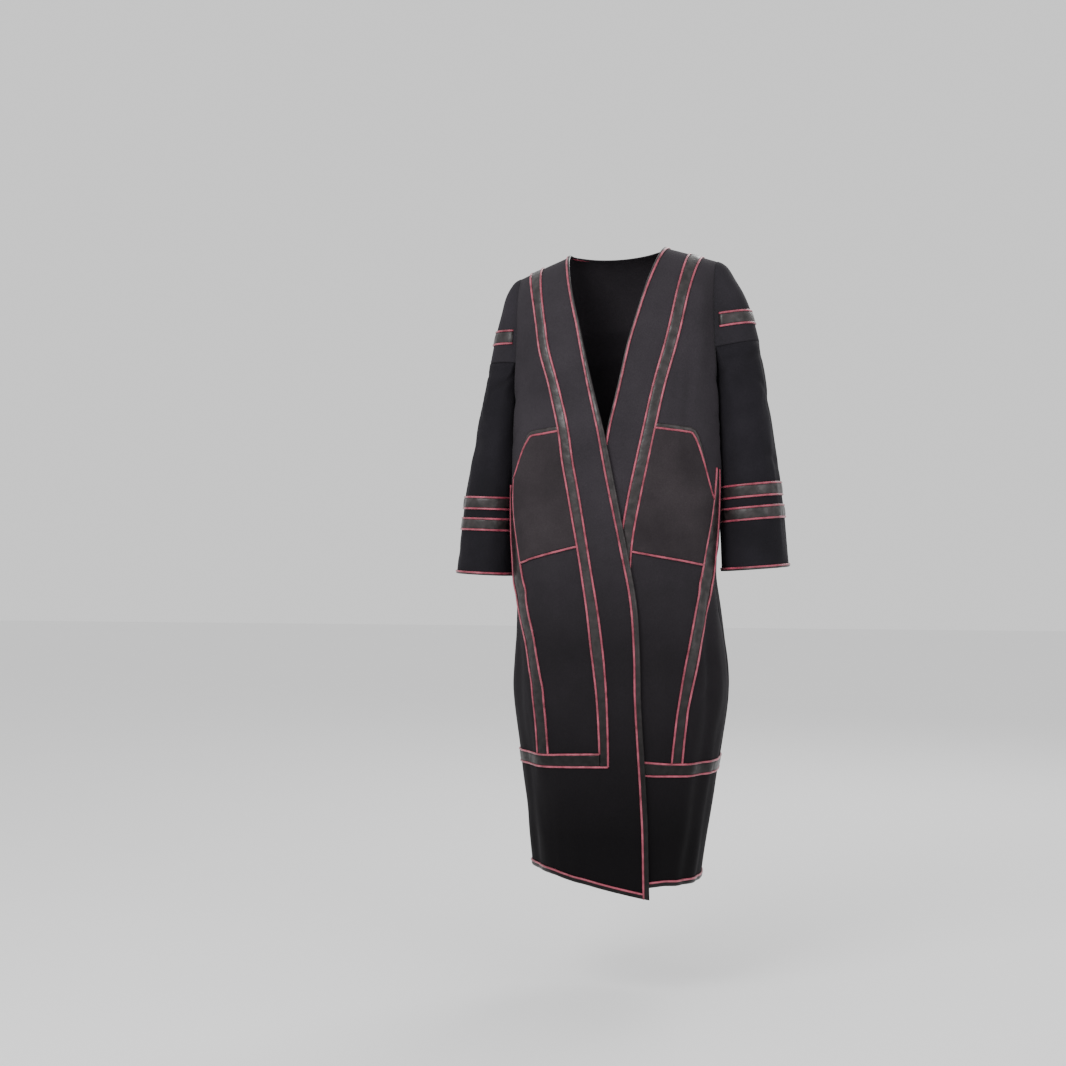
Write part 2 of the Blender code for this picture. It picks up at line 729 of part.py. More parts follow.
def make_body(builder):
    """The fronts, the back and everything sewn on them."""
    _, row = level_rows(-1)
    top = row["ridge"]
    line = FRONT_LINE
    grids, normals = {}, {}
    for name, side in (("right", -1), ("left", 1)):
        grids[name] = front_grid(side)
    grids["back"] = back_grid()
    whole = []
    for i in range(top + 1):
        whole.append(grids["right"][i] + grids["back"][i][1:-1] + grids["left"][i][::-1])
    whole_normals = outward(whole, surface_normals(whole), Vector())
    across = line["seam"]
    back_last = len(grids["back"][0]) - 1
    for i in range(top + 1):
        normals.setdefault("right", []).append(whole_normals[i][:across + 1])
        normals.setdefault("back", []).append(whole_normals[i][across:across + back_last + 1])
        normals.setdefault("left", []).append(whole_normals[i][across + back_last:][::-1])
    first, last = SIDE_STEPS, back_last - SIDE_STEPS
    neck_start, neck_end = first + NECK_COLUMN, last - NECK_COLUMN
    for name in ("right", "left", "back"):
        for j, point in enumerate(grids[name][top]):
            slope = math.copysign(SHOULDER_FALL, point.x)
            if name == "back" and neck_start < j < neck_end:
                continue
            normals[name][top][j] = Vector((slope, 0.0, 1.0)).normalized()

    arm = row["underarm"]
    for name in ("right", "left"):
        cells = {(i, j) for i in range(arm) for j in range(line["seam"])}
        cells |= {(i, j) for i in range(arm, top) for j in range(line["side_outer"])}
        shell(builder, "front_" + name, grids[name], normals[name], cells,
              (-WALL, 0.0), GAP / 2, CLOTH)
    cells = {(i, j) for i in range(arm) for j in range(back_last)}
    cells |= {(i, j) for i in range(arm, top) for j in range(first, last)}
    shell(builder, "back", grids["back"], normals["back"], cells, (-WALL, 0.0), GAP / 2, CLOTH)

    for name in ("right", "left"):
        make_front_trim(builder, name, grids[name], normals[name], row)

    for label, level, start in (("hem_band_top", "band_top", line["band_outer"]),
                                ("hem_band_bottom", "band_bottom", line["band_inner"]),
                                ("hem", "hem_piping", line["piping"])):
        stations = round_line(grids, normals, row[level], start)
        strip(builder, label + "_piping", trimmed(stations, PIPED, PIPED), piping_profile(),
              PIPING)
    lows = round_line(grids, normals, row["band_bottom"], line["band_outer"])
    highs = round_line(grids, normals, row["band_top"], line["band_outer"])
    tape(builder, "hem_band", trimmed(lows, -HEM_BAND_REACH, -HEM_BAND_REACH),
         trimmed(highs, -HEM_BAND_REACH, -HEM_BAND_REACH), (PIPED, PIPED), lift=SLANT_LIFT)
    lows = round_line(grids, normals, row["hem"], line["piping"])
    highs = round_line(grids, normals, row["hem_piping"], line["piping"])
    tape(builder, "hem_binding", trimmed(lows, PIPED, PIPED), trimmed(highs, PIPED, PIPED),
         (GAP, PIPED))

    edges = edge_line(grids, normals, 0, neck_start, neck_end)
    pipings = edge_line(grids, normals, 1, neck_start, neck_end)
    tape(builder, "edge_binding", edges, pipings, (GAP, PIPED))
    strip(builder, "edge_piping", pipings, piping_profile(), PIPING)
    return grids, normals, row


def round_line(grids, normals, level, start):
    """A line round the whole robe at one level, from one front over the back to the other."""
    seam = FRONT_LINE["seam"]
    columns = len(grids["back"][0])
    stations = rail(grids["right"], normals["right"],
                    [(level, j) for j in range(start, seam)], (1, 0))
    stations += rail(grids["back"], normals["back"], [(level, j) for j in range(columns)], (1, 0))
    stations += rail(grids["left"], normals["left"],
                     [(level, j) for j in range(seam - 1, start - 1, -1)], (1, 0))
    return stations


def edge_line(grids, normals, column, neck_start, neck_end):
    """The line up the right front's edge, round the back of the neck and down the left front.

    column 0 is the edge itself and column 1 the line of its piping.
    """
    top = len(grids["right"]) - 1
    stations = rail(grids["right"], normals["right"],
                    [(i, column) for i in range(top)], (0, 1))
    neck = []
    for j in range(neck_start, neck_end + 1):
        upper, lower = grids["back"][top][j], grids["back"][top - 1][j]
        normal = normals["back"][top][j]
        away = (lower - upper).normalized()
        if j in (neck_start, neck_end):
            front = grids["right" if j == neck_start else "left"][top]
            away = (front[1] - front[0]).normalized()
        here = upper + away * (NECK_BINDING * column) + normal * NECK_LIFT
        neck.append((here - away, here, here + away, normal))
    stations += neck
    stations += rail(grids["left"], normals["left"],
                     [(i, column) for i in range(top - 1, -1, -1)], (0, 1))
    return stations


def make_front_trim(builder, name, grid, normals, row):
    """The bands, the pocket and their piping on one front."""
    line = FRONT_LINE
    top = row["ridge"]

    def up(column, low, high):
        return rail(grid, normals, [(i, line[column]) for i in range(low, high + 1)], (0, 1))

    def along(level, low, high):
        return rail(grid, normals, [(level, j) for j in range(low, high + 1)], (1, 0))

    cord = piping_profile()
    bottom, band_top = row["band_bottom"], row["band_top"]
    strip(builder, "front_band_inner_piping_" + name,
          trimmed(up("band_inner", bottom, top), -PIPING_HALF, GAP), cord, PIPING)
    strip(builder, "front_band_outer_piping_" + name,
          trimmed(up("band_outer", band_top, top), -FRONT_PIPING_REACH, GAP), cord, PIPING)
    tape(builder, "front_band_" + name, trimmed(up("band_inner", bottom, top), PIPED, GAP),
         trimmed(up("band_outer", bottom, top), PIPED, GAP), (PIPED, PIPED))

    side_top = row["pocket_top"] + (1 if name == "left" else 0)
    for edge in ("inner", "outer"):
        stations = trimmed(up("side_" + edge, band_top, side_top), PIPED, 0.0)
        strip(builder, "side_band_" + edge + "_piping_" + name,
              raised(stations, FOLD_LIFT), cord, PIPING)
    tape(builder, "side_band_" + name, trimmed(up("side_inner", band_top, side_top), PIPED, 0.0),
         trimmed(up("side_outer", band_top, side_top), PIPED, 0.0), (PIPED, PIPED))

    low, high = line["band_outer"], line["side_inner"]
    for label in ("pocket_top", "pocket_bottom"):
        strip(builder, label + "_piping_" + name,
              trimmed(along(row[label], low, high), PIPED, PIPED), cord, PIPING)
    cells = {(i, j) for i in range(row["pocket_bottom"], row["pocket_top"])
             for j in range(low, high)}
    shell(builder, "pocket_" + name, grid, normals, cells, (REST, REST + TRIM), PIPED, CLOTH)

    sections = []
    stations = trimmed(along(row["pocket_top"], low, high), PIPED + GAP, 2 * PIPED)
    last = len(stations) - 1
    for k, (_, here, above, normal) in enumerate(stations):
        up = (above - here).normalized()
        if 0 < k < last:
            along_line = stations[k + 1][1] - stations[k - 1][1]
            across_line = normal.cross(along_line).normalized()
            up = across_line if across_line.dot(up) > 0 else -across_line
        taper = BINDING_TAPER * smoothstep(TAPER_FROM, 1.0, k / last)
        width = (POCKET_BINDING - PIPED - GAP) * (1.0 - taper)
        start, end = here + up * (PIPED + GAP), here + up * (PIPED + GAP + width)
        sections.append(tape_section(start, normal, end, normal, SLANT_LIFT))
    loft(builder, "pocket_binding_" + name, sections, SATIN, False)


def arm_arc(start, end, side, reach, tilt, roundness=ARC_ROUNDNESS):
    """An arc from a front point to a back point, reaching out from the fold or in from it."""
    arc = []
    for k in range(ARC_STEPS + 1):
        angle = math.pi * (k / ARC_STEPS - 0.5)
        out = reach * max(math.cos(angle), 0.0) ** (2 / roundness)
        swing = abs(math.sin(angle)) ** (2 / roundness)
        base = start + (end - start) * (0.5 * (1.0 + math.copysign(swing, angle)))
        arc.append(base + Vector((side * out, 0.0, tilt * out + LEAN * side * out)))
    return arc


def cap_grid(grids, row, side):
    """The cap over one shoulder, an arc a row from the front fold to the back fold."""
    front = grids["right" if side < 0 else "left"]
    back = grids["back"]
    fold = FRONT_LINE["side_outer"]
    back_fold = SIDE_STEPS if side < 0 else len(back[0]) - 1 - SIDE_STEPS
    low, top = row["underarm"], row["ridge"]
    grid = []
    for i in range(low, top + 1):
        start, end = front[i][fold], back[i][back_fold]
        share = (i - low) / (top - low)
        level = start.z - LEAN * start.x
        reach = read_table(OUTER, OUTER_COLUMNS, "reach", level) - fold_reach(level, -1)
        reach += side * read_table(OUTER, OUTER_COLUMNS, "shift", level)
        grid.append(arm_arc(start, end, side, reach, CAP_TILTS[side] * (1.0 - share)))
    grid[-1] = [grid[-1][0].copy() for _ in grid[-1]]
    return grid


def sleeve_grid(side, seam_arc):
    """One sleeve, a closed ring a row from the cuff up to the seam below the cap."""
    grid, numbers = [], {}
    levels = named_rows(SLEEVE_LEVELS, SLEEVE_LEVEL_COLUMNS)
    for low, high in zip(levels, levels[1:] + levels[-1:]):
        numbers[low["name"]] = len(grid)
        steps = max(low["steps"], 1)
        for step in range(steps):
            z = low["z"] + (high["z"] - low["z"]) * step / steps
            grid.append(sleeve_ring(side, z))
    inner = arm_arc(seam_arc[0], seam_arc[-1], side, -UNDERARM_REACH, SLEEVE_TILTS[side],
                    INNER_ROUNDNESS)
    seam = [point.copy() for point in seam_arc + inner[-2:0:-1]]
    for k, point in enumerate(seam):
        point.x += side * FOLD_CLEARANCE * math.cos(math.pi * k / ARC_STEPS) ** 2
    offsets = [Vector((a.x - b.x, a.y - b.y, 0.0)) for a, b in zip(seam, grid[-1])]
    for k in range(1, BLEND_ROWS):
        weight = 1.0 - k / BLEND_ROWS
        grid[-1 - k] = [point + offset * weight for point, offset in zip(grid[-1 - k], offsets)]
    grid[-1] = seam
    return grid, numbers


def crease_depth(side, turn, z):
    """How far the creases of a sleeve draw the cloth in."""
    total = 0.0
    for crease in named_rows(CREASES, CREASE_COLUMNS):
        if crease["side"] != side:
            continue
        across = (turn - crease["turn"] + 180.0) % 360.0 - 180.0
        along = (z - crease["z"] - crease["slant"] * across) / crease["half_height"]
        total += crease["depth"] * math.exp(-along * along - (across / crease["half_turn"]) ** 2)
    return total


def sleeve_ring(side, z):
    """A ring of the sleeve: the outer half from front to back, then the inner half."""
    value = {name: read_table(SLEEVE, SLEEVE_COLUMNS, name, z) for name in SLEEVE_COLUMNS[1:]}
    value["outer"] += side * value["shift"]
    value["hinge"] += side * value["shift"] / 2
    ring = []
    for k in range(2 * ARC_STEPS):
        angle = math.pi * (k / ARC_STEPS - 0.5)
        reach = math.cos(angle)
        width = value["outer"] - value["hinge"] if reach > 0 else value["hinge"] - value["inner"]
        power = 2 / (ARC_ROUNDNESS if reach > 0 else INNER_ROUNDNESS)
        x = value["hinge"] + width * math.copysign(abs(reach) ** power, reach)
        swing = math.sin(angle)
        depth = value["back"] if swing > 0 else value["front"]
        y = depth * math.copysign(abs(swing) ** power, swing)
        drawn = crease_depth(side, math.degrees(angle), z)
        x -= drawn * math.cos(angle)
        y -= drawn * math.sin(angle)
        height = z - SLEEVE_DROPS[side] - SLEEVE_TILTS[side] * (value["outer"] - x)
        ring.append(pose(Vector((side * x, y, height))))
    return ring


def make_arm(builder, grids, normals, row, side):
    """A cap and a sleeve with their bands, cuff and piping."""
    name = "right" if side < 0 else "left"
    cap = cap_grid(grids, row, side)
    cap_normals = outward(cap, surface_normals(cap), Vector((side * NECK_HALF, 0.0, 0.0)))
    fold = FRONT_LINE["side_outer"]
    back_fold = SIDE_STEPS if side < 0 else len(grids["back"][0]) - 1 - SIDE_STEPS
    low = row["underarm"]
    pole = normals["back"][row["ridge"]][back_fold]
    for i in range(len(cap)):
        cap_normals[i][0] = normals[name][low + i][fold]
        cap_normals[i][-1] = normals["back"][low + i][back_fold]
    cap_normals[-1] = [pole] * len(cap[-1])
    drawn = [[point.copy() for point in line] for line in cap]
    for j in range(len(drawn[-1])):
        drawn[-1][j] = cap[-1][j] + Vector((side * 2 * GAP, 0.0, 0.0))
    cells = {(i, j) for i in range(len(cap) - 1) for j in range(ARC_STEPS)}
    shell(builder, "shoulder_cap_" + name, drawn, cap_normals, cells, (-WALL, 0.0), GAP / 2,
          CLOTH)

    rails = []
    for label, level in (("bottom", row["cap_band_bottom"]), ("top", row["yoke"])):
        whole = rail(cap, cap_normals, [(level - low, j) for j in range(ARC_STEPS + 1)], (1, 0))
        rails.append(trimmed(whole, 2 * PIPED, 2 * PIPED))
        strip(builder, "cap_band_" + label + "_piping_" + name, rails[-1], piping_profile(),
              PIPING)
    tape(builder, "cap_band_" + name, *rails, (PIPED, PIPED))

    seam_arc = [point - Vector((0.0, 0.0, GAP)) for point in cap[0]]
    sleeve, level = sleeve_grid(side, seam_arc)
    middle = sum(sleeve[len(sleeve) // 3], Vector()) / len(sleeve[0])
    sleeve_normals = outward(sleeve, surface_normals(sleeve, True), middle)
    cells = {(i, j) for i in range(len(sleeve) - 1) for j in range(2 * ARC_STEPS)}
    shell(builder, "sleeve_" + name, sleeve, sleeve_normals, cells, (-WALL, 0.0), GAP / 2,
          CLOTH, closed=True)

    def ring(label):
        return rail(sleeve, sleeve_normals,
                    [(level[label], j) for j in range(2 * ARC_STEPS)], (1, 0))

    for label in ("lower_bottom", "lower_top", "upper_bottom", "upper_top", "cuff_piping"):
        title = "cuff_piping_" if label == "cuff_piping" else "sleeve_" + label + "_piping_"
        strip(builder, title + name, ring(label), piping_profile(), PIPING, closed=True)
    for label in ("lower", "upper"):
        tape(builder, "sleeve_band_" + label + "_" + name, ring(label + "_bottom"),
             ring(label + "_top"), (PIPED, PIPED), closed=True)
    tape(builder, "cuff_binding_" + name, ring("cuff"), ring("cuff_piping"), (GAP, PIPED),
         closed=True)


def main():
    """Build the robe."""
    clear_scene()
    builder = Builder()
    grids, normals, row = make_body(builder)
    for side in (-1, 1):
        make_arm(builder, grids, normals, row, side)


main()
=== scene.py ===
"""Looks of a long open-front robe in its worn form: cloth, satin bands, piping and sewing.

The cloth follows the same sections, lines and levels as the solids, on a finer grid with more
folds. Metres, +Z up. The front faces -Y and the wearer's left is +X.
"""
import math

import bpy
import numpy as np
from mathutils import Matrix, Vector


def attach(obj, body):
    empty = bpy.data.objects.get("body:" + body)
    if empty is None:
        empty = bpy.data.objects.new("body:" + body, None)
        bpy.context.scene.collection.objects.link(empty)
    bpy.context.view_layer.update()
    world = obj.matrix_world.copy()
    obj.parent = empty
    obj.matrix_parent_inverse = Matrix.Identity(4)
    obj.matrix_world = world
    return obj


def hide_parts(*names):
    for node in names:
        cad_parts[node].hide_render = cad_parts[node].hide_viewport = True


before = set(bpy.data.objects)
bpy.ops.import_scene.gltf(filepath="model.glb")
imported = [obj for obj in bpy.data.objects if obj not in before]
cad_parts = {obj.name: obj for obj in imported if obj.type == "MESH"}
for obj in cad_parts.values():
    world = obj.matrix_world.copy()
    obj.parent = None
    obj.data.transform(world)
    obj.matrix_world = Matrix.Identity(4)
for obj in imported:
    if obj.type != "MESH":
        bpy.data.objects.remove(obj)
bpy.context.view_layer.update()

# Camera and stage
CAMERA_TURN = math.radians(11.0)
CAMERA_DISTANCE = 3.7
CAMERA_HEIGHT = -0.59
CAMERA_REACH = 60.0
SENSOR = 36.0
METRES_PER_PIXEL = 0.00208
ROBE_PIXEL = 617
FRAME_PIXELS = 1066
FLOOR, FLOOR_HALF = -1.53, 14.0

# Each lamp: name, place, target, size in metres and power in watts
LAMPS = (
    ("key", (-0.9, -2.0, 0.9), (0.0, 0.0, -0.35), 1.2, 42.0),
    ("fill", (2.4, -2.2, 0.4), (0.0, 0.0, -0.6), 1.8, 22.0),
    ("rim", (1.0, 3.0, 1.8), (0.0, 0.0, -0.6), 1.8, 60.0),
)

# Cloth and trim
CLOTH = 0.0013
RIM_SHARE = 0.35
SEAM_GAP = 0.0003
RIBBON = 0.0007
RIBBON_REST = 0.001
RIBBON_BELLY = 0.0003
CRINKLE = 0.00095
CRINKLE_SPREAD, CRINKLE_SWELL = 0.6, 0.8
CRINKLE_STEPS = (3, 3, 9)
POCKET_REST = 0.0012
PIPING_RADIUS = 0.0021
PIPING_REST = 0.0012
POCKET_PIPING_REST = 0.0022
NECK_BINDING = 0.007
POCKET_BINDING = 0.0105
BINDING_TAPER = 0.7
TAPER_FROM = 0.6
BINDING_COLUMNS = 6
BINDING_TURN, NECK_TURN = 4, 7
ABOVE_ROWS = 9
NECK_ROWS, NECK_NORMAL_ROW = 40, 8
LEAF_ROWS = {"right": 0, "left": 9}
CORD_SIDES = 10
STITCH_LENGTH, STITCH_HALF, STITCH_PITCH = 0.0027, 0.00028, 0.0037
STITCH_CROWN = 1.3
STITCH_FACES = ((0, 1, 2), (0, 2, 3), (4, 2, 1), (4, 3, 2), (0, 3, 4, 1))
STITCH_INSET, STITCH_HEIGHT = 0.0028, 0.0019

# First seeds of the crinkles, and how far apart those of one front's tapes are
SEEDS = {"hem_band": 11, "hem_binding": 21, "edge": 31, "left": 100, "right": 200,
         "cap_band": 300, "lower": 400, "upper": 410, "cuff": 420}
SEED_STEP = 10

# Shoulder line
YOKE = -0.159
RIDGE_Y = 0.012
NECK_HALF = 0.098
NECK_Z = -0.006
SHOULDER_FALL = 0.35
FOLD_START = 0.205
BACK_NECK_DEPTH = 0.056
YOKE_ROUNDNESS = 2.2

# Worn form
ROUNDNESS = 2.5
FOLD_DIP = 0.01
FOLD_WIDTH = 0.014
LAST_FOLD_TURN = math.radians(75)
BACK_DRAW = 0.07
BACK_DRAW_TOP, BACK_DRAW_FULL = -0.226, -0.34
TUCK_POWER = 0.85
DIP_FOOT, DIP_FULL = -0.66, -0.5
DIP_LIMIT = 0.5
LAP_LIFT = 0.0068
LAP_FROM, LAP_WHOLE = 0.15, 0.098
LAP_TOP, LAP_FULL = -0.3, -0.38
LEAN = 0.06
LEAN_FOOT, LEAN_FULL = -0.95, -0.45
HEM_TILT = 0.05
TILT_TOP, TILT_FULL = -1.08, -1.28
BIAS_POWER = 4
ARC_ROUNDNESS = 2.4
INNER_ROUNDNESS = 2.0
UNDERARM_REACH = 0.008
FOLD_CLEARANCE = 0.0018
BLEND_HEIGHT = 0.14
SETTLE_STEPS = 12

# Right arm -1 and left arm +1: rise of the sleeve's rings and of the cap's lines towards the
# outside, and how much lower the sleeve hangs
SLEEVE_TILTS = {-1: 0.09, 1: 0.035}
CAP_TILTS = {-1: 0.09, 1: 0.13}
SLEEVE_DROPS = {-1: -0.003, 1: 0.007}


def smoothstep(low, high, value):
    """0 at low, 1 at high, with level ends."""
    t = np.clip((value - low) / (high - low), 0.0, 1.0)
    return t * t * (3.0 - 2.0 * t)


class Table:
    """Columns of sizes by height, read on smooth curves through the rows, given top down."""

    def __init__(self, columns, *rows):
        values = np.array(rows, float)[::-1]
        self.z = values[:, 0]
        self.columns = dict(zip(columns, values.T))
        ends = np.arange(len(rows))
        self.before, self.after = np.maximum(ends - 1, 0), np.minimum(ends + 1, len(rows) - 1)

    def __call__(self, name, z):
        values = self.columns[name]
        slopes = values[self.after] - values[self.before]
        slopes = slopes / (self.z[self.after] - self.z[self.before])
        z = np.clip(z, self.z[0], self.z[-1])
        k = np.clip(np.searchsorted(self.z, z, side="right") - 1, 0, len(self.z) - 2)
        span = self.z[k + 1] - self.z[k]
        t = (z - self.z[k]) / span
        return (
            values[k] * (1 + 2 * t) * (1 - t) ** 2
            + slopes[k] * span * t * (1 - t) ** 2
            + values[k + 1] * t * t * (3 - 2 * t)
            - slopes[k + 1] * span * t * t * (1 - t)
        )


BODY = Table(
    ("z", "half_width", "front", "back", "sway", "tuck", "bias"),
    (-0.159, 0.235, 0.12, 0.112, 0.004, 0.066, 0.0),
    (-0.22, 0.231, 0.135, 0.124, 0.004, 0.06, 0.001),
    (-0.36, 0.229, 0.15, 0.13, 0.004, 0.052, 0.002),
    (-0.52, 0.231, 0.158, 0.136, 0.003, 0.05, 0.003),
    (-0.66, 0.225, 0.162, 0.146, 0.003, 0.036, 0.002),
    (-0.8, 0.2225, 0.166, 0.158, 0.007, 0.008, 0.0),
    (-0.91, 0.2235, 0.168, 0.165, 0.01, 0.0, -0.001),
    (-1.04, 0.2075, 0.16, 0.16, 0.008, 0.0, 0.0),
    (-1.16, 0.191, 0.15, 0.148, 0.004, 0.0, 0.0),
    (-1.33, 0.169, 0.14, 0.136, 0.0, 0.0, 0.0),
)
FRONT_LINES = ("edge", "piping", "band_inner", "band_outer", "side_inner", "side_outer")
LINES = {
    -1: Table(
        ("z",) + FRONT_LINES,
        (0.0, 0.098, 0.104, 0.159, 0.183, 0.194, 0.205),
        (-0.1, 0.0785, 0.084, 0.144, 0.165, 0.189, 0.205),
        (-0.2, 0.055, 0.0625, 0.129, 0.149, 0.19, 0.206),
        (-0.3, 0.0305, 0.041, 0.101, 0.121, 0.194, 0.211),
        (-0.38, 0.0085, 0.021, 0.081, 0.102, 0.201, 0.2145),
        (-0.44, -0.0045, 0.0095, 0.071, 0.093, 0.206, 0.2165),
        (-0.52, -0.021, -0.007, 0.0555, 0.077, 0.206, 0.2185),
        (-0.61, -0.039, -0.026, 0.04, 0.06, 0.193, 0.215),
        (-0.72, -0.058, -0.046, 0.023, 0.044, 0.175, 0.2),
        (-0.82, -0.063, -0.051, 0.012, 0.035, 0.152, 0.176),
        (-0.92, -0.063, -0.051, 0.006, 0.0255, 0.138, 0.16),
        (-1.03, -0.07, -0.058, 0.002, 0.019, 0.127, 0.149),
        (-1.18, -0.081, -0.069, 0.0, 0.017, 0.118, 0.139),
        (-1.33, -0.0865, -0.0745, -0.002, 0.015, 0.109, 0.129),
    ),
    1: Table(
        ("z",) + FRONT_LINES,
        (0.0, 0.098, 0.105, 0.151, 0.175, 0.192, 0.205),
        (-0.1, 0.067, 0.072, 0.134, 0.157, 0.187, 0.205),
        (-0.2, 0.038, 0.043, 0.115, 0.138, 0.189, 0.206),
        (-0.3, 0.0165, 0.0215, 0.089, 0.112, 0.194, 0.211),
        (-0.38, -0.002, 0.003, 0.072, 0.095, 0.201, 0.2145),
        (-0.44, -0.013, -0.007, 0.059, 0.083, 0.2095, 0.213),
        (-0.52, -0.026, -0.018, 0.0425, 0.067, 0.207, 0.214),
        (-0.61, -0.042, -0.03, 0.028, 0.051, 0.196, 0.2105),
        (-0.72, -0.059, -0.047, 0.019, 0.042, 0.1775, 0.2),
        (-0.82, -0.064, -0.052, 0.012, 0.035, 0.1575, 0.1785),
        (-0.92, -0.066, -0.054, 0.005, 0.028, 0.1395, 0.157),
        (-1.03, -0.072, -0.06, 0.0, 0.023, 0.126, 0.144),
        (-1.18, -0.079, -0.067, -0.002, 0.021, 0.117, 0.1345),
        (-1.33, -0.083, -0.071, -0.004, 0.019, 0.107, 0.123),
    ),
}
OUTER = Table(
    ("z", "reach", "shift"),
    (-0.043, 0.2065, 0.0),
    (-0.05, 0.218, 0.0),
    (-0.06, 0.227, 0.001),
    (-0.085, 0.24, 0.002),
    (-0.12, 0.2535, 0.007),
    (-0.16, 0.266, 0.009),
    (-0.226, 0.281, 0.01),
)
SLEEVE = Table(
    ("z", "outer", "hinge", "inner", "front", "back", "shift"),
    (-0.219, 0.281, 0.206, 0.199, 0.066, 0.06, 0.01),
    (-0.26, 0.289, 0.226, 0.199, 0.07, 0.07, 0.01),
    (-0.32, 0.3, 0.243, 0.201, 0.075, 0.08, 0.009),
    (-0.42, 0.316, 0.259, 0.204, 0.08, 0.088, 0.007),
    (-0.5, 0.329, 0.268, 0.207, 0.083, 0.092, 0.0065),
    (-0.6, 0.34, 0.276, 0.211, 0.086, 0.095, 0.006),
    (-0.69, 0.349, 0.283, 0.215, 0.088, 0.098, 0.006),
)

# The crossing lines of the body: fine steps up to the next one, 1 for the last, and on the right
# and the left side the heights at the side band, the pocket corner, the front band and the edge
LEVELS = (
    ("hem", 4, (-1.285, -1.291, -1.302, -1.32), (-1.291, -1.297, -1.298, -1.29)),
    ("hem_piping", 44, (-1.275, -1.281, -1.292, -1.31), (-1.281, -1.287, -1.288, -1.28)),
    ("band_bottom", 6, (-1.061, -1.059, -1.056, -1.055), (-1.075, -1.074, -1.069, -1.066)),
    ("band_top", 76, (-1.037, -1.034, -1.03, -1.029), (-1.051, -1.048, -1.042, -1.039)),
    ("pocket_bottom", 44, (-0.645, -0.634, -0.614, -0.604), (-0.661, -0.65, -0.629, -0.619)),
    ("pocket_top", 44, (-0.48, -0.384, -0.379, -0.372), (-0.538, -0.399, -0.386, -0.378)),
    ("underarm", 10, (-0.226,) * 4, (-0.226,) * 4),
    ("cap_band_bottom", 6, (-0.186,) * 4, (-0.186,) * 4),
    ("yoke", 36, (YOKE,) * 4, (YOKE,) * 4),
    ("ridge", 1, (0.0,) * 4, (0.0,) * 4),
)
CORNER_SHARES = {-1: 0.75, 1: 0.68}
CORNER_ROUNDS = {-1: 0.014, 1: 0.004}
ROUND_SAMPLES = (-1.0, -0.5, 0.0, 0.5, 1.0)
SLEEVE_LEVELS = (
    ("cuff", -0.664, 3),
    ("cuff_piping", -0.659, 20),
    ("lower_bottom", -0.567, 6),
    ("lower_top", -0.5435, 5),
    ("upper_bottom", -0.5226, 6),
    ("upper_top", -0.4988, 56),
    ("seam", -0.219, 1),
)

# Fine steps across a front from line to line, 1 for the last, across half the back, and round
# half a sleeve
FRONT_STEPS = (("edge", 4), ("piping", 14), ("band_inner", 6), ("band_outer", 24),
               ("side_inner", 5), ("side_outer", 16), ("seam", 1))
BACK_STEPS, NECK_STEPS = 14, 16
ARC_STEPS = 38

# Long folds of the front -1 and the back +1: turn round the section in degrees with the wearer's
# left positive, drift of the turn down to the foot, upper and lower end, half width in degrees, depth
FOLDS = {
    -1: (
        (-63, 4, -0.74, -1.3, 9, 0.006), (-41, 3, -0.7, -1.18, 8, -0.0035),
        (34, -3, -0.66, -1.1, 8, 0.005), (47, -2, -0.76, -1.33, 8, -0.004),
        (62, -5, -0.7, -1.26, 8, 0.0065), (-50, 6, -0.17, -0.4, 4, 0.0042),
        (-33, 5, -0.2, -0.52, 4, 0.003), (44, -7, -0.16, -0.42, 4, 0.0046),
        (30, -9, -0.19, -0.46, 4, -0.003), (17, -8, -0.22, -0.5, 3, 0.0018),
        (-52, 3, -0.8, -1.16, 4, 0.0022), (-20, -2, -0.72, -1.0, 4, 0.0016),
        (20, 2, -0.7, -1.02, 4, -0.0018), (55, 4, -0.62, -0.98, 4, 0.0024),
        (-12, 1, -1.04, -1.33, 5, 0.0022), (26, -2, -1.06, -1.33, 5, 0.0026),
        (-34, 2, -1.08, -1.33, 4, 0.002), (74, 4, -0.9, -1.33, 5, 0.0032),
    ),
    1: (
        (-64, 4, -0.7, -1.33, 9, 0.007), (-43, 5, -0.42, -1.33, 9, -0.008),
        (-24, 2, -0.3, -1.2, 9, 0.009), (-5, -3, -0.55, -1.33, 8, -0.006),
        (13, 2, -0.34, -1.33, 8, 0.0085), (33, -2, -0.48, -1.15, 9, -0.0075),
        (52, -5, -0.4, -1.33, 8, 0.008), (68, -3, -0.72, -1.2, 8, -0.005),
        (-34, -4, -0.18, -0.46, 4, 0.003), (24, 5, -0.16, -0.52, 4, 0.0034),
        (42, 3, -0.7, -1.33, 4, 0.003), (-55, 2, -0.96, -1.33, 4, -0.0026),
        (3, 3, -0.8, -1.33, 4, 0.0028),
    ),
}
FOLD_FADE = 0.14
OPEN_FOOT = -1.3

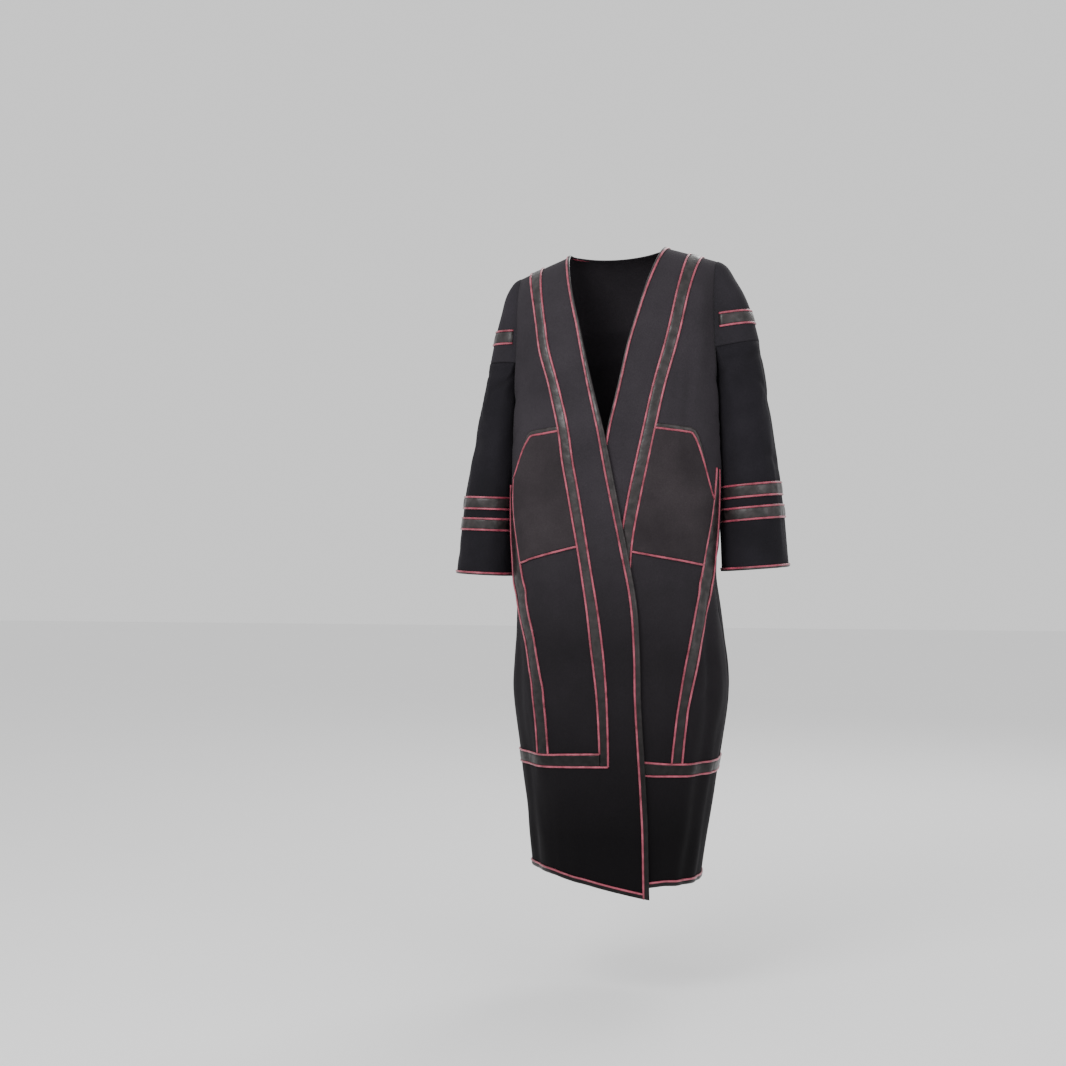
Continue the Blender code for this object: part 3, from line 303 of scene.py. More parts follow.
# Cross creases of the front and the back: turn in degrees, height, half height, half turn, slant
# in metres a degree, depth
CREASES = {
    -1: (
        (-62, -0.3, 0.013, 16, 0.0022, 0.003), (-58, -0.372, 0.01, 13, 0.0016, 0.0022),
        (60, -0.285, 0.013, 16, -0.0024, 0.0032), (56, -0.35, 0.011, 14, -0.0018, 0.0024),
        (-46, -0.7, 0.014, 20, 0.0006, 0.0024), (42, -0.69, 0.013, 18, -0.0007, 0.0026),
        (-30, -0.5, 0.016, 14, 0.0012, 0.0014), (34, -0.52, 0.016, 14, -0.001, 0.0014),
        (8, -0.82, 0.02, 14, 0.002, 0.0016), (-36, -0.9, 0.018, 16, -0.0016, 0.0018),
        (46, -0.93, 0.018, 16, 0.0018, 0.002),
    ),
    1: (
        (-50, -0.33, 0.016, 22, 0.0024, 0.0042), (52, -0.32, 0.016, 22, -0.0024, 0.0042),
        (0, -0.215, 0.016, 26, 0.0005, 0.003), (-30, -0.6, 0.02, 24, 0.0012, 0.003),
        (36, -0.64, 0.02, 24, -0.0014, 0.0034), (58, -0.86, 0.018, 18, 0.0016, 0.0026),
    ),
}

# Creases of the right and the left sleeve: turn round it in degrees from the outside towards the
# back, height, half height, half turn, slant in metres a degree, depth
SLEEVE_CREASES = {
    -1: (
        (-70, -0.3, 0.018, 45, 0.0004, 0.0064), (-55, -0.385, 0.022, 40, -0.0003, 0.004),
        (80, -0.345, 0.024, 45, -0.0005, 0.006), (60, -0.44, 0.02, 40, 0.0004, 0.0045),
        (-95, -0.262, 0.009, 34, -0.0006, 0.003), (-40, -0.33, 0.01, 30, 0.0009, 0.0026),
        (-85, -0.45, 0.011, 34, 0.0007, 0.0026), (-30, -0.62, 0.014, 30, 0.0006, 0.0016),
        (95, -0.28, 0.01, 40, -0.0008, 0.0034), (40, -0.38, 0.011, 32, 0.001, 0.0028),
        (-60, -0.243, 0.007, 60, -0.0001, 0.003),
    ),
    1: (
        (-75, -0.29, 0.018, 40, 0.0005, 0.0062), (-50, -0.35, 0.02, 45, 0.0004, 0.0068),
        (-80, -0.43, 0.02, 40, -0.0004, 0.004), (70, -0.315, 0.022, 45, 0.0004, 0.0055),
        (85, -0.41, 0.022, 45, -0.0005, 0.006), (-60, -0.243, 0.007, 60, 0.0001, 0.003),
        (-98, -0.255, 0.009, 34, 0.0006, 0.0032), (-35, -0.29, 0.01, 30, -0.0009, 0.0026),
        (-60, -0.392, 0.01, 34, 0.0008, 0.0028), (-25, -0.45, 0.012, 30, -0.0007, 0.0022),
        (-70, -0.63, 0.014, 30, 0.0006, 0.0016), (100, -0.27, 0.01, 40, 0.0008, 0.0034),
        (45, -0.37, 0.011, 32, -0.001, 0.0028),
    ),
}

# Slight waves of hanging cloth: phases a degree and a metre, and their sway with its own phases
WAVES = ((0.17, 9.0, 2.0, 0.0, 11.0), (0.31, -17.0, 1.5, 0.1, 23.0))
WAVE_DEPTH = 0.0013
SLEEVE_WAVE_SHIFT = 0.1


def fold_reach(z, face):
    """How far out the cloth folds in behind the arm, before it or behind it."""
    reach = LINES[-1]("side_outer", z)
    if face > 0:
        reach = reach * (1.0 - BACK_DRAW * smoothstep(BACK_DRAW_TOP, BACK_DRAW_FULL, z))
    return reach


def pose(points):
    """The stance of the whole robe: one shoulder lower, the skirt a little to one side."""
    x, y, z = np.moveaxis(points, -1, 0)
    lean = LEAN * smoothstep(LEAN_FOOT, LEAN_FULL, z)
    lean = lean - HEM_TILT * smoothstep(TILT_TOP, TILT_FULL, z)
    return np.stack([x + BODY("sway", np.minimum(z, YOKE)), y, z + lean * x], -1)


def turn_at(reach, z):
    """The angle round the section where its width is reach."""
    share = np.minimum(np.abs(reach) / BODY("half_width", np.minimum(z, YOKE)), 1.0)
    return np.copysign(np.arcsin(share ** (ROUNDNESS / 2)), reach)


def crease_depth(creases, turn, z):
    """How far cross creases draw the cloth in."""
    total = np.zeros(np.broadcast(turn, z).shape)
    for middle, height, half_height, half_turn, slant, depth in creases:
        across = (turn - middle + 180.0) % 360.0 - 180.0
        along = (z - height - slant * across) / half_height
        total = total + depth * np.exp(-along ** 2 - (across / half_turn) ** 2)
    return total


def fold_depth(turn, z, face):
    """How far the long folds and the creases of the body draw the cloth in."""
    turn = np.degrees(turn)
    total = crease_depth(CREASES[face], turn, z)
    for middle, drift, top, foot, half_width, depth in FOLDS[face]:
        spread = (turn - middle - drift * (top - z) / (top - foot)) / half_width
        ends = smoothstep(top, top - FOLD_FADE, z)
        if foot > OPEN_FOOT:
            ends = ends * smoothstep(foot - FOLD_FADE, foot + FOLD_FADE, z)
        total = total + depth * ends * np.exp(-spread ** 2)
    return total + wave(turn, z)


def wave(turn, z):
    """The slight unevenness of hanging cloth, in from 0 to 2 times WAVE_DEPTH."""
    total = 1.0
    for by_turn, by_height, sway, sway_by_turn, sway_by_height in WAVES:
        swayed = sway * np.sin(sway_by_height * z + sway_by_turn * turn)
        total = total + 0.5 * np.sin(by_turn * turn + by_height * z + swayed)
    return WAVE_DEPTH * total


def body_points(turn, height, face, top=1.0):
    """The body's outer surface before the stance is put on, at turns round it and heights.

    Above YOKE the height runs on to 0 at the shoulder line, and top says how far a column goes.
    """
    level = np.minimum(height, YOKE)
    around, ahead = np.abs(np.sin(turn)), np.maximum(np.cos(turn), 0.0)
    reach = BODY("half_width", level) * around ** (2 / ROUNDNESS)
    depth = BODY("front" if face < 0 else "back", level) * ahead ** (2 / ROUNDNESS)
    fold = fold_reach(level, face)
    fold_turn = np.minimum(turn_at(fold, level), LAST_FOLD_TURN)
    behind = np.maximum(np.abs(turn) - fold_turn, 0.0) / (math.pi / 2 - fold_turn)
    dip = FOLD_DIP * np.exp(-(((reach - fold) / FOLD_WIDTH) ** 2))
    dip = dip * smoothstep(DIP_FOOT, DIP_FULL, level) * (1.0 - behind)
    depth = depth - np.minimum(dip, DIP_LIMIT * depth)
    reach = reach - BODY("tuck", level) * behind ** TUCK_POWER
    drawn = fold_depth(turn, level, face)
    reach = np.maximum(reach - drawn * around, 0.0)
    depth = depth - drawn * ahead
    rise = np.clip((height - YOKE) / -YOKE, 0.0, 1.0) * top
    back_off = np.maximum(1.0 - rise ** YOKE_ROUNDNESS, 0.0) ** (1 / YOKE_ROUNDNESS)
    ridge = NECK_Z - SHOULDER_FALL * (np.maximum(reach, NECK_HALF) - NECK_HALF)
    z = np.where(height > YOKE, YOKE + (ridge - YOKE) * rise, height)
    y = np.where(height > YOKE, RIDGE_Y + (face * depth - RIDGE_Y) * back_off, face * depth)
    x = np.copysign(reach, turn) + BODY("bias", level) * around ** BIAS_POWER
    return np.stack([x, y, z], -1)


def level_rows(side):
    """The heights of every fine row at its four stations, and the row of each named line."""
    rows, numbers = [], {}
    heights = np.array([level[2 if side < 0 else 3] for level in LEVELS])
    for k, (name, steps, *_) in enumerate(LEVELS):
        numbers[name] = len(rows)
        low, high = heights[k], heights[min(k + 1, len(LEVELS) - 1)]
        for step in range(steps):
            share = step / steps
            if name == "yoke":
                share = math.sin(share * math.pi / 2)
            rows.append(low + (high - low) * share)
    return np.array(rows), numbers


def column_shares():
    """For each fine column of a front, its line and share to the next, and the lines' columns."""
    shares, numbers = [], {}
    for place, (name, steps) in enumerate(FRONT_STEPS):
        numbers[name] = len(shares)
        shares += [place + k / steps for k in range(steps)]
    return np.array(shares), numbers


SHARES, COLUMN = column_shares()
ROW = level_rows(-1)[1]

# The columns of the back at its folds behind the arms, and at the ends of its neck
SIDE_STEPS = COLUMN["seam"] - COLUMN["side_outer"]
BACK_FOLD = (SIDE_STEPS, SIDE_STEPS + 2 * (BACK_STEPS + NECK_STEPS))
NECK = (BACK_FOLD[0] + BACK_STEPS, BACK_FOLD[1] - BACK_STEPS)


def front_grid(side):
    """The outer points of one front, a row a level, each from its edge to the side seam."""
    stations = level_rows(side)[0]
    flat = SHARES[:COLUMN["side_outer"] + 1]
    low = np.minimum(flat.astype(int), len(FRONT_LINES) - 2)
    part = flat - low
    z = np.repeat(stations[:, 2:3], len(flat), axis=1)
    i, j = np.indices(z.shape)
    for _ in range(SETTLE_STEPS):
        lines = np.stack([LINES[side](name, z) for name in FRONT_LINES])
        reach = lines[low[j], i, j] * (1 - part) + lines[low[j] + 1, i, j] * part
        z = station_heights(stations, reach, lines, side)
    points = body_points(side * turn_at(reach, z), z, -1)
    if side < 0:
        lift = smoothstep(LAP_FROM, LAP_WHOLE, reach) * smoothstep(LAP_TOP, LAP_FULL, z)
        points[..., 1] -= LAP_LIFT * lift
    heights = stations[:, :1]
    start = turn_at(reach[:, -1:], heights)
    steps = np.arange(1, SIDE_STEPS + 1)
    turns = start + (math.pi / 2 - start) * steps / SIDE_STEPS
    rest = body_points(side * turns, np.broadcast_to(heights, turns.shape), -1)
    return pose(np.concatenate([points, rest], axis=1))


def station_heights(stations, reach, lines, side):
    """The height of each row at distances from the middle, rounded between its four stations."""
    edge, outer, inner = (lines[FRONT_LINES.index(name)]
                          for name in ("edge", "band_outer", "side_inner"))
    places = (inner, outer + (inner - outer) * CORNER_SHARES[side], outer, edge)
    total = 0.0
    for sample in ROUND_SAMPLES:
        here = reach + sample * CORNER_ROUNDS[side]
        height = np.broadcast_to(stations[:, :1], reach.shape).copy()
        for k in range(len(places) - 1):
            share = np.clip((places[k] - here) / (places[k] - places[k + 1]), 0.0, 1.0)
            height += (stations[:, k + 1:k + 2] - stations[:, k:k + 1]) * share
        total = total + height
    return total / len(ROUND_SAMPLES)


def back_grid():
    """The outer points of the back, from the right side seam to the left one."""
    starts = {side: level_rows(side)[0][:, :1] for side in (-1, 1)}
    middle = (starts[-1] + starts[1]) / 2
    neck = NECK_HALF / FOLD_START
    shares = np.concatenate([np.linspace(1.0, neck, BACK_STEPS, endpoint=False),
                             np.linspace(neck, 0.0, NECK_STEPS + 1)])
    count = SIDE_STEPS + len(shares)
    halves = {}
    for side, start in starts.items():
        heights = start + (middle - start) * np.arange(count) / (count - 1)
        turn = turn_at(fold_reach(start, 1), start)
        outer = math.pi / 2 + (turn - math.pi / 2) * np.arange(SIDE_STEPS) / SIDE_STEPS
        inner = heights[:, SIDE_STEPS:]
        reach = fold_reach(inner, 1) * shares
        inside = np.maximum(1.0 - (reach / NECK_HALF) ** 2, 0.0) * (inner > YOKE)
        turns = np.concatenate([outer, turn_at(reach, inner)], axis=1)
        tops = np.concatenate([np.ones(outer.shape), 1.0 - BACK_NECK_DEPTH * inside], axis=1)
        halves[side] = body_points(side * turns, heights, 1, tops)
    return pose(np.concatenate([halves[-1], halves[1][:, -2::-1]], axis=1))


def unit(vectors):
    """The same directions at length 1."""
    return vectors / np.maximum(np.linalg.norm(vectors, axis=-1, keepdims=True), 1e-12)


def normals_of(grid, middle, closed=False):
    """Unit normals of a grid, turned to point away from an upright line through middle."""
    up = np.gradient(grid, axis=0)
    if closed:
        along = np.roll(grid, -1, axis=1) - np.roll(grid, 1, axis=1)
    else:
        along = np.gradient(grid, axis=1)
    normals = unit(np.cross(along, up))
    i, j = grid.shape[0] // 3, grid.shape[1] // 2
    away = (grid[i, j] - middle) * (1.0, 1.0, 0.0)
    return -normals if normals[i, j] @ away < 0 else normals


class Surface:
    """A grid of points with its normals."""

    def __init__(self, points, normals):
        self.points, self.normals = points, normals

    def part(self, rows, columns):
        """The part between two rows and two columns, both ends included."""
        place = (slice(rows[0], rows[1] + 1), slice(columns[0], columns[1] + 1))
        return Surface(self.points[place], self.normals[place])

    def row(self, number):
        """The points and the normals of one row."""
        return self.points[number], self.normals[number]

    def raised(self, height):
        """The same surface moved out."""
        return Surface(self.points + self.normals * height, self.normals)

    def joined(self, *others):
        """This surface with others added on beyond its last column."""
        whole = (self,) + others
        return Surface(np.concatenate([s.points for s in whole], axis=1),
                       np.concatenate([s.normals for s in whole], axis=1))

    def flipped(self):
        """The same surface with its columns in reverse."""
        return Surface(self.points[:, ::-1], self.normals[:, ::-1])

    def turned(self):
        """The same surface with its rows as columns."""
        return Surface(self.points.swapaxes(0, 1), self.normals.swapaxes(0, 1))

    def lengthwise(self):
        """The same surface with its long way along the rows' numbers."""
        rows, columns = self.points.shape[:2]
        return self if rows > columns else self.turned()

    def ringed(self):
        """The same closed surface with its first column once more at the end."""
        return self.joined(Surface(self.points[:, :1], self.normals[:, :1]))


def make_body_surfaces():
    """The right front, the left front and the back, with one field of normals round all."""
    right, left, back = front_grid(-1), front_grid(1), back_grid()
    whole = np.concatenate([right, back[:, 1:-1], left[:, ::-1]], axis=1)
    normals = normals_of(whole, np.zeros(3))
    across, last = right.shape[1] - 1, back.shape[1] - 1
    surfaces = {
        "right": Surface(right, normals[:, :across + 1].copy()),
        "back": Surface(back, normals[:, across:across + last + 1].copy()),
        "left": Surface(left, normals[:, across + last:][:, ::-1].copy()),
    }
    for name, surface in surfaces.items():
        slope = np.copysign(SHOULDER_FALL, surface.points[-1, :, 0])
        top = unit(np.stack([slope, np.zeros_like(slope), np.ones_like(slope)], -1))
        if name == "back":
            neck = slice(NECK[0] + 1, NECK[1])
            top[neck] = surface.normals[-1, neck]
        surface.normals[-1] = top
    return surfaces


def arm_arcs(start, end, side, reach, tilt, roundness=ARC_ROUNDNESS):
    """Arcs from front points to back points, reaching out from the fold or in from it."""
    angle = math.pi * (np.arange(ARC_STEPS + 1) / ARC_STEPS - 0.5)
    out = reach * np.maximum(np.cos(angle), 0.0) ** (2 / roundness)
    swing = np.copysign(np.abs(np.sin(angle)) ** (2 / roundness), angle)
    base = start + (end - start) * (0.5 * (1.0 + swing))[:, None]
    push = np.stack([side * out, np.zeros_like(out), tilt * out + LEAN * side * out], -1)
    return base + push


def cap_surface(body, side):
    """The cap over one shoulder, an arc a row from the front fold to the back fold."""
    front = body["right" if side < 0 else "left"]
    fold, back_fold = COLUMN["side_outer"], BACK_FOLD[0 if side < 0 else 1]
    low, top = ROW["underarm"], ROW["ridge"]
    lines = []
    for i in range(low, top + 1):
        start, end = front.points[i, fold], body["back"].points[i, back_fold]
        share = (i - low) / (top - low)
        level = start[2] - LEAN * start[0]
        reach = OUTER("reach", level) - fold_reach(level, -1) + side * OUTER("shift", level)
        lines.append(arm_arcs(start, end, side, reach, CAP_TILTS[side] * (1.0 - share)))
    grid = np.array(lines)
    grid[-1] = grid[-1, :1]
    normals = normals_of(grid, np.array([side * NECK_HALF, 0.0, 0.0]))
    normals[:, 0] = front.normals[low:top + 1, fold]
    normals[:, -1] = body["back"].normals[low:top + 1, back_fold]
    normals[-1] = body["back"].normals[top, back_fold]
    return Surface(grid, normals)


def sleeve_ring(side, z):
    """A ring of the sleeve: the outer half from front to back, then the inner half."""
    value = {name: SLEEVE(name, z) for name in SLEEVE.columns}
    value["outer"] += side * value["shift"]
    value["hinge"] += side * value["shift"] / 2
    angle = math.pi * (np.arange(2 * ARC_STEPS) / ARC_STEPS - 0.5)
    reach, swing = np.cos(angle), np.sin(angle)
    outside = reach > 0
    width = np.where(outside, value["outer"] - value["hinge"], value["hinge"] - value["inner"])
    power = np.where(outside, 2 / ARC_ROUNDNESS, 2 / INNER_ROUNDNESS)
    x = value["hinge"] + width * np.copysign(np.abs(reach) ** power, reach)
    depth = np.where(swing > 0, value["back"], value["front"])
    y = depth * np.copysign(np.abs(swing) ** power, swing)
    drawn = crease_depth(SLEEVE_CREASES[side], np.degrees(angle), z)
    drawn = drawn + wave(np.degrees(np.sin(angle)), z + SLEEVE_WAVE_SHIFT * side)
    x = x - drawn * reach
    y = y - drawn * swing
    height = z - SLEEVE_DROPS[side] - SLEEVE_TILTS[side] * (value["outer"] - x)
    return pose(np.stack([side * x, y, height], -1))


def sleeve_surface(side, seam_arc):
    """One sleeve, a closed ring a row from the cuff up to the seam, and its lines' rows."""
    heights, numbers = [], {}
    for k, (name, z, steps) in enumerate(SLEEVE_LEVELS):
        numbers[name] = len(heights)
        above = SLEEVE_LEVELS[min(k + 1, len(SLEEVE_LEVELS) - 1)][1]
        heights += [z + (above - z) * step / steps for step in range(steps)]
    grid = np.array([sleeve_ring(side, z) for z in heights])
    inner = arm_arcs(seam_arc[0], seam_arc[-1], side, -UNDERARM_REACH, SLEEVE_TILTS[side],
                     INNER_ROUNDNESS)
    seam = np.concatenate([seam_arc, inner[-2:0:-1]])
    clear = np.cos(math.pi * np.arange(len(seam)) / ARC_STEPS) ** 2
    seam[:, 0] += side * FOLD_CLEARANCE * clear
    offset = (seam - grid[-1]) * (1.0, 1.0, 0.0)
    top = heights[-1]
    for i, z in enumerate(heights[:-1]):
        grid[i] += offset * max(1.0 - (top - z) / BLEND_HEIGHT, 0.0)
    grid[-1] = seam
    middle = grid[len(grid) // 3].mean(axis=0)
    return Surface(grid, normals_of(grid, middle, closed=True)), numbers


def run_along(line):
    """Distances along a line from its first point."""
    return np.concatenate([[0.0], np.cumsum(np.linalg.norm(np.diff(line, axis=0), axis=1))])


def read_at(distance, run, values):
    """Points or normals at distances along a line."""
    return np.stack([np.interp(distance, run, values[:, axis]) for axis in range(3)], -1)


def neck_surface(body):
    """The binding round the back of the neck, a column a place along it, in rows from the edge."""
    back = body["back"]
    top = ROW["ridge"]
    steps = COLUMN["piping"] - COLUMN["edge"]
    rows = [[] for _ in range(steps + 1)]
    normals = []
    for j in range(NECK[0], NECK[1] + 1):
        from_end = min(j - NECK[0], NECK[1] - j)
        front = body["right" if j - NECK[0] < NECK[1] - j else "left"].points[top]
        along = unit(front[1] - front[0])
        column = back.points[top::-1, j][:NECK_ROWS]
        run = run_along(column)
        weight = smoothstep(0, NECK_TURN, from_end)
        low_normal = back.normals[top - NECK_NORMAL_ROW, j]
        normals.append(unit(back.normals[top, j] * (1 - weight) + low_normal * weight))
        for k in range(steps + 1):
            distance = NECK_BINDING * k / steps
            down = read_at(distance, run, column)
            sideways = column[0] + along * distance
            rows[k].append(down * weight + sideways * (1 - weight))
    return Surface(np.array(rows), np.array([normals] * (steps + 1)))


def new_object(name, data):
    """An object in the scene."""
    made = bpy.data.objects.new(name, data)
    bpy.context.collection.objects.link(made)
    return made


def mesh_piece(name, points, faces, material, node=None):
    """A smooth mesh that rides with the robe and stands for a solid where one is named."""
    mesh = bpy.data.meshes.new(name)
    mesh.from_pydata(points, [], faces)
    mesh.update()
    mesh.shade_smooth()
    mesh.materials.append(material)
    piece = new_object(name, mesh)
    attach(piece, "root")
    if node:
        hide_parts(node)
    return piece


def shell(name, surface, thickness, material, node, mask=None, closed=False):
    """A thin shell under a grid, with its rim drawn together so that its edge is round."""
    rows, columns = surface.points.shape[:2]
    width = columns if closed else columns - 1
    if mask is None:
        mask = np.ones((rows - 1, width), bool)
    number = np.arange(rows * columns).reshape(rows, columns)
    right = np.roll(number, -1, axis=1)
    i, j = np.nonzero(mask)
    quads = np.stack([number[i, j], right[i, j], right[i + 1, j], number[i + 1, j]], -1)
    points, normals = surface.points.reshape(-1, 3), surface.normals.reshape(-1, 3)
    sample = quads[len(quads) // 2]
    a, b, d = points[sample[[0, 1, 3]]]
    if np.cross(b - a, d - a) @ normals[sample[0]] < 0:
        quads = quads[:, ::-1]
    edges = np.concatenate([quads[:, [k, (k + 1) % 4]] for k in range(4)])
    low, high = edges.min(axis=1), edges.max(axis=1)
    keys = low.astype(np.int64) * (rows * columns) + high
    _, first, counts = np.unique(keys, return_index=True, return_counts=True)
    rim = edges[first[counts == 1]]
    depth_out, depth_in = np.zeros(rows * columns), np.full(rows * columns, thickness)
    depth_out[rim.ravel()] = RIM_SHARE * thickness
    depth_in[rim.ravel()] = (1.0 - RIM_SHARE) * thickness
    both = np.concatenate([points - normals * depth_out[:, None],
                           points - normals * depth_in[:, None]])
    shift = rows * columns
    walls = np.stack([rim[:, 1], rim[:, 0], rim[:, 0] + shift, rim[:, 1] + shift], -1)
    faces = np.concatenate([quads, quads[:, ::-1] + shift, walls])
    used, compact = np.unique(faces, return_inverse=True)
    return mesh_piece(name, both[used].tolist(), compact.reshape(faces.shape).tolist(), material,
                      node)


def smooth_noise(count, size, seed):
    """Smooth random values from -1 to 1 along a line, size steps from one bend to the next."""
    random = np.random.default_rng(seed)
    knots = random.uniform(-1.0, 1.0, count // size + 3)
    places = np.arange(count) / size
    k = places.astype(int)
    t = places - k
    t = t * t * (3 - 2 * t)
    return knots[k] * (1 - t) + knots[k + 1] * t


def piping(name, line, normals, closed=False, rest=PIPING_REST):
    """A round cord along a line on the cloth, for the solid of the same name."""
    centre = line + normals * rest
    if closed:
        along = unit(np.roll(centre, -1, axis=0) - np.roll(centre, 1, axis=0))
    else:
        along = unit(np.gradient(centre, axis=0))
    beside = unit(np.cross(normals, along))
    above = np.cross(along, beside)
    count = len(centre)
    turns = (2 * math.pi * np.arange(CORD_SIDES) / CORD_SIDES)[None, :, None]
    ring = np.cos(turns) * beside[:, None, :] + np.sin(turns) * above[:, None, :]
    points = (centre[:, None, :] + PIPING_RADIUS * ring).reshape(-1, 3)
    number = np.arange(count * CORD_SIDES).reshape(count, CORD_SIDES)
    beyond = np.roll(number, -1, axis=0)
    quads = np.stack([number, np.roll(number, -1, axis=1), np.roll(beyond, -1, axis=1), beyond], -1)
    faces = quads[:count if closed else count - 1].reshape(-1, 4).tolist()
    if not closed:
        faces += [number[0, ::-1].tolist(), number[-1].tolist()]
    mesh_piece("cord_" + name, points.tolist(), faces, PIPING, name)


class Stitches:
    """Rows of small stitches, gathered into one mesh."""

    def __init__(self):
        self.points, self.faces = [], []

    def row(self, line, normals):
        """Stitches along a line on the cloth."""
        run = run_along(line)
        starts = np.arange(STITCH_PITCH, run[-1] - STITCH_PITCH, STITCH_PITCH)
        up = unit(read_at(starts, run, normals))
        low, high = (read_at(starts + end, run, line) for end in (0.0, STITCH_LENGTH))
        side = unit(np.cross(high - low, up)) * STITCH_HALF
        middle = (low + high) / 2
        corners = np.stack([
            low + up * (STITCH_HEIGHT - STITCH_HALF), middle + side + up * STITCH_HEIGHT,
            middle + up * (STITCH_HEIGHT + STITCH_CROWN * STITCH_HALF),
            middle - side + up * STITCH_HEIGHT, high + up * (STITCH_HEIGHT - STITCH_HALF)], axis=1)
        base, count = len(self.points), corners.shape[1]
        self.points += corners.reshape(-1, 3).tolist()
        for a in range(base, base + count * len(starts), count):
            self.faces += [[a + k for k in face] for face in STITCH_FACES]

    def edges(self, long):
        """Stitches along both edges of a ribbon that runs along the rows' numbers."""
        for first, second in ((0, 1), (-1, -2)):
            edge = long.points[:, first]
            toward = unit(long.points[:, second] - edge)
            self.row(edge + toward * STITCH_INSET, long.normals[:, first])


class Shader:
    """A node material with short calls for the nodes used here."""

    def __init__(self, name):
        self.material = bpy.data.materials.new(name)
        self.material.use_nodes = True
        self.tree = self.material.node_tree
        self.place = self.node("TexCoord").outputs["Object"]

    def fill(self, node, values):
        """Set or link a node's sockets, named with spaces as underscores."""
        for name, value in values.items():
            socket = node.inputs[name.replace("_", " ")]
            if isinstance(value, bpy.types.NodeSocket):
                self.tree.links.new(value, socket)
            else:
                socket.default_value = value

    def node(self, kind, **values):
        """A new node with its sockets set or linked."""
        node = self.tree.nodes.new("ShaderNode" + kind)
        self.fill(node, values)
        return node

    def noise(self, scale, detail=3.0, roughness=0.5):
        """Noise over object space, in cycles a metre."""
        return self.node("TexNoise", Vector=self.place, Scale=scale, Detail=detail,
                         Roughness=roughness).outputs["Fac"]

    def ramp(self, value, low, high, start, end):
        """Values from low to high mapped to colours or greys from start to end."""
        node = self.node("ValToRGB", Fac=value)
        for element, place, colour in zip(node.color_ramp.elements, (low, high), (start, end)):
            element.position = place
            element.color = (*((colour,) * 3 if isinstance(colour, float) else colour), 1.0)
        return node.outputs["Color"]

    def upwards(self, low, high, start, end):
        """Greys from start at one height to end at another."""
        height = self.node("SeparateXYZ", Vector=self.place).outputs["Z"]
        share = self.node("MapRange", Value=height, From_Min=low, From_Max=high)
        return self.ramp(share.outputs["Result"], 0.0, 1.0, start, end)

    def times(self, colour, *shades):
        """A colour multiplied by others."""
        for shade in shades:
            node = self.node("Mix", Factor=1.0)
            node.data_type = "RGBA"
            node.blend_type = "MULTIPLY"
            first, second = (socket for socket in node.inputs if socket.type == "RGBA")
            self.tree.links.new(colour, first)
            self.tree.links.new(shade, second)
            colour = next(socket for socket in node.outputs if socket.type == "RGBA")
        return colour

    def finish(self, bumps, **values):
        """The material, with bumps on each other, each a value, a strength and a distance."""
        if bumps:
            normal = {}
            for value, strength, distance in bumps:
                node = self.node("Bump", Height=value, Strength=strength, Distance=distance, **normal)
                normal = {"Normal": node.outputs["Normal"]}
            values.update(normal)
        self.fill(self.tree.nodes["Principled BSDF"], values)
        return self.material


def cloth_material(name, dark, light, painted_shade_below=False):
    """Heavy cloth with a short nap, brushed lighter and darker in patches, and, where asked, with
    painted shade darkening it towards the bottom.
    """
    shader = Shader(name)
    patches = shader.noise(9.0, 4.0, 0.55)
    nap = shader.noise(1400.0, 2.0, 0.6)
    fleck = shader.noise(420.0, 3.0, 0.6)
    shades = [shader.ramp(nap, 0.30, 0.72, 0.62, 1.0), shader.ramp(fleck, 0.35, 0.70, 0.80, 1.0)]
    if painted_shade_below:
        # Painted shade: the colour grows darker towards the bottom, where less light falls
        shades += [shader.upwards(-0.84, -0.56, 0.44, 1.0), shader.upwards(-1.20, -0.90, 0.32, 1.0)]
    colour = shader.times(shader.ramp(patches, 0.32, 0.70, dark, light), *shades)
    rough = shader.ramp(patches, 0.3, 0.7, 0.80, 0.92)
    return shader.finish([(patches, 0.25, 0.004), (fleck, 0.35, 0.0006), (nap, 0.5, 0.0003)],
                         Base_Color=colour, Roughness=rough, Sheen_Weight=0.03,
                         Sheen_Roughness=0.45, Sheen_Tint=(0.80, 0.76, 0.84, 1.0),
                         Specular_IOR_Level=0.08)


def satin_material():
    """Black satin tape with soft blotchy glints, partly real from smoother patches and partly painted
    highlight in lighter colour, with painted shade darkening it and less specular towards the hem.
    """
    shader = Shader("satin")
    blotch = shader.noise(70.0, 2.0, 0.45)
    weft = shader.noise(900.0, 2.0, 0.5)
    crease = shader.noise(95.0, 2.0, 0.4)
    # Painted highlight: the colour is lighter in the same patches where the roughness is lower and
    # real glints fall
    colour = shader.ramp(blotch, 0.35, 0.72, (0.007, 0.005, 0.005), (0.030, 0.023, 0.024))
    return shader.finish([(crease, 0.40, 0.0020), (weft, 0.20, 0.0002)],
                         # Painted shade: the colour darkens towards the hem, and the specular is
                         # lower there
                         Base_Color=shader.times(colour, shader.upwards(-1.08, -0.70, 0.22, 1.0)),
                         Roughness=shader.ramp(blotch, 0.30, 0.70, 0.48, 0.30),
                         Specular_IOR_Level=shader.upwards(-1.08, -0.80, 0.20, 0.42))


def piping_material():
    """Pink-red satin cord, deeper and paler in patches."""
    shader = Shader("piping")
    blotch = shader.noise(55.0, 3.0, 0.55)
    twill = shader.noise(1500.0, 2.0, 0.5)
    colour = shader.ramp(blotch, 0.30, 0.75, (0.14, 0.010, 0.024), (0.44, 0.078, 0.125))
    return shader.finish([(twill, 0.35, 0.0003)], Base_Color=colour, Roughness=0.38,
                         Specular_IOR_Level=0.55, Sheen_Weight=0.15, Sheen_Roughness=0.4)


def plain_material(name, scale, low, high, dark, light, rough):
    """A flat colour with slight patches."""
    shader = Shader(name)
    colour = shader.ramp(shader.noise(scale), low, high, dark, light)
    return shader.finish([], Base_Color=colour, Roughness=rough)


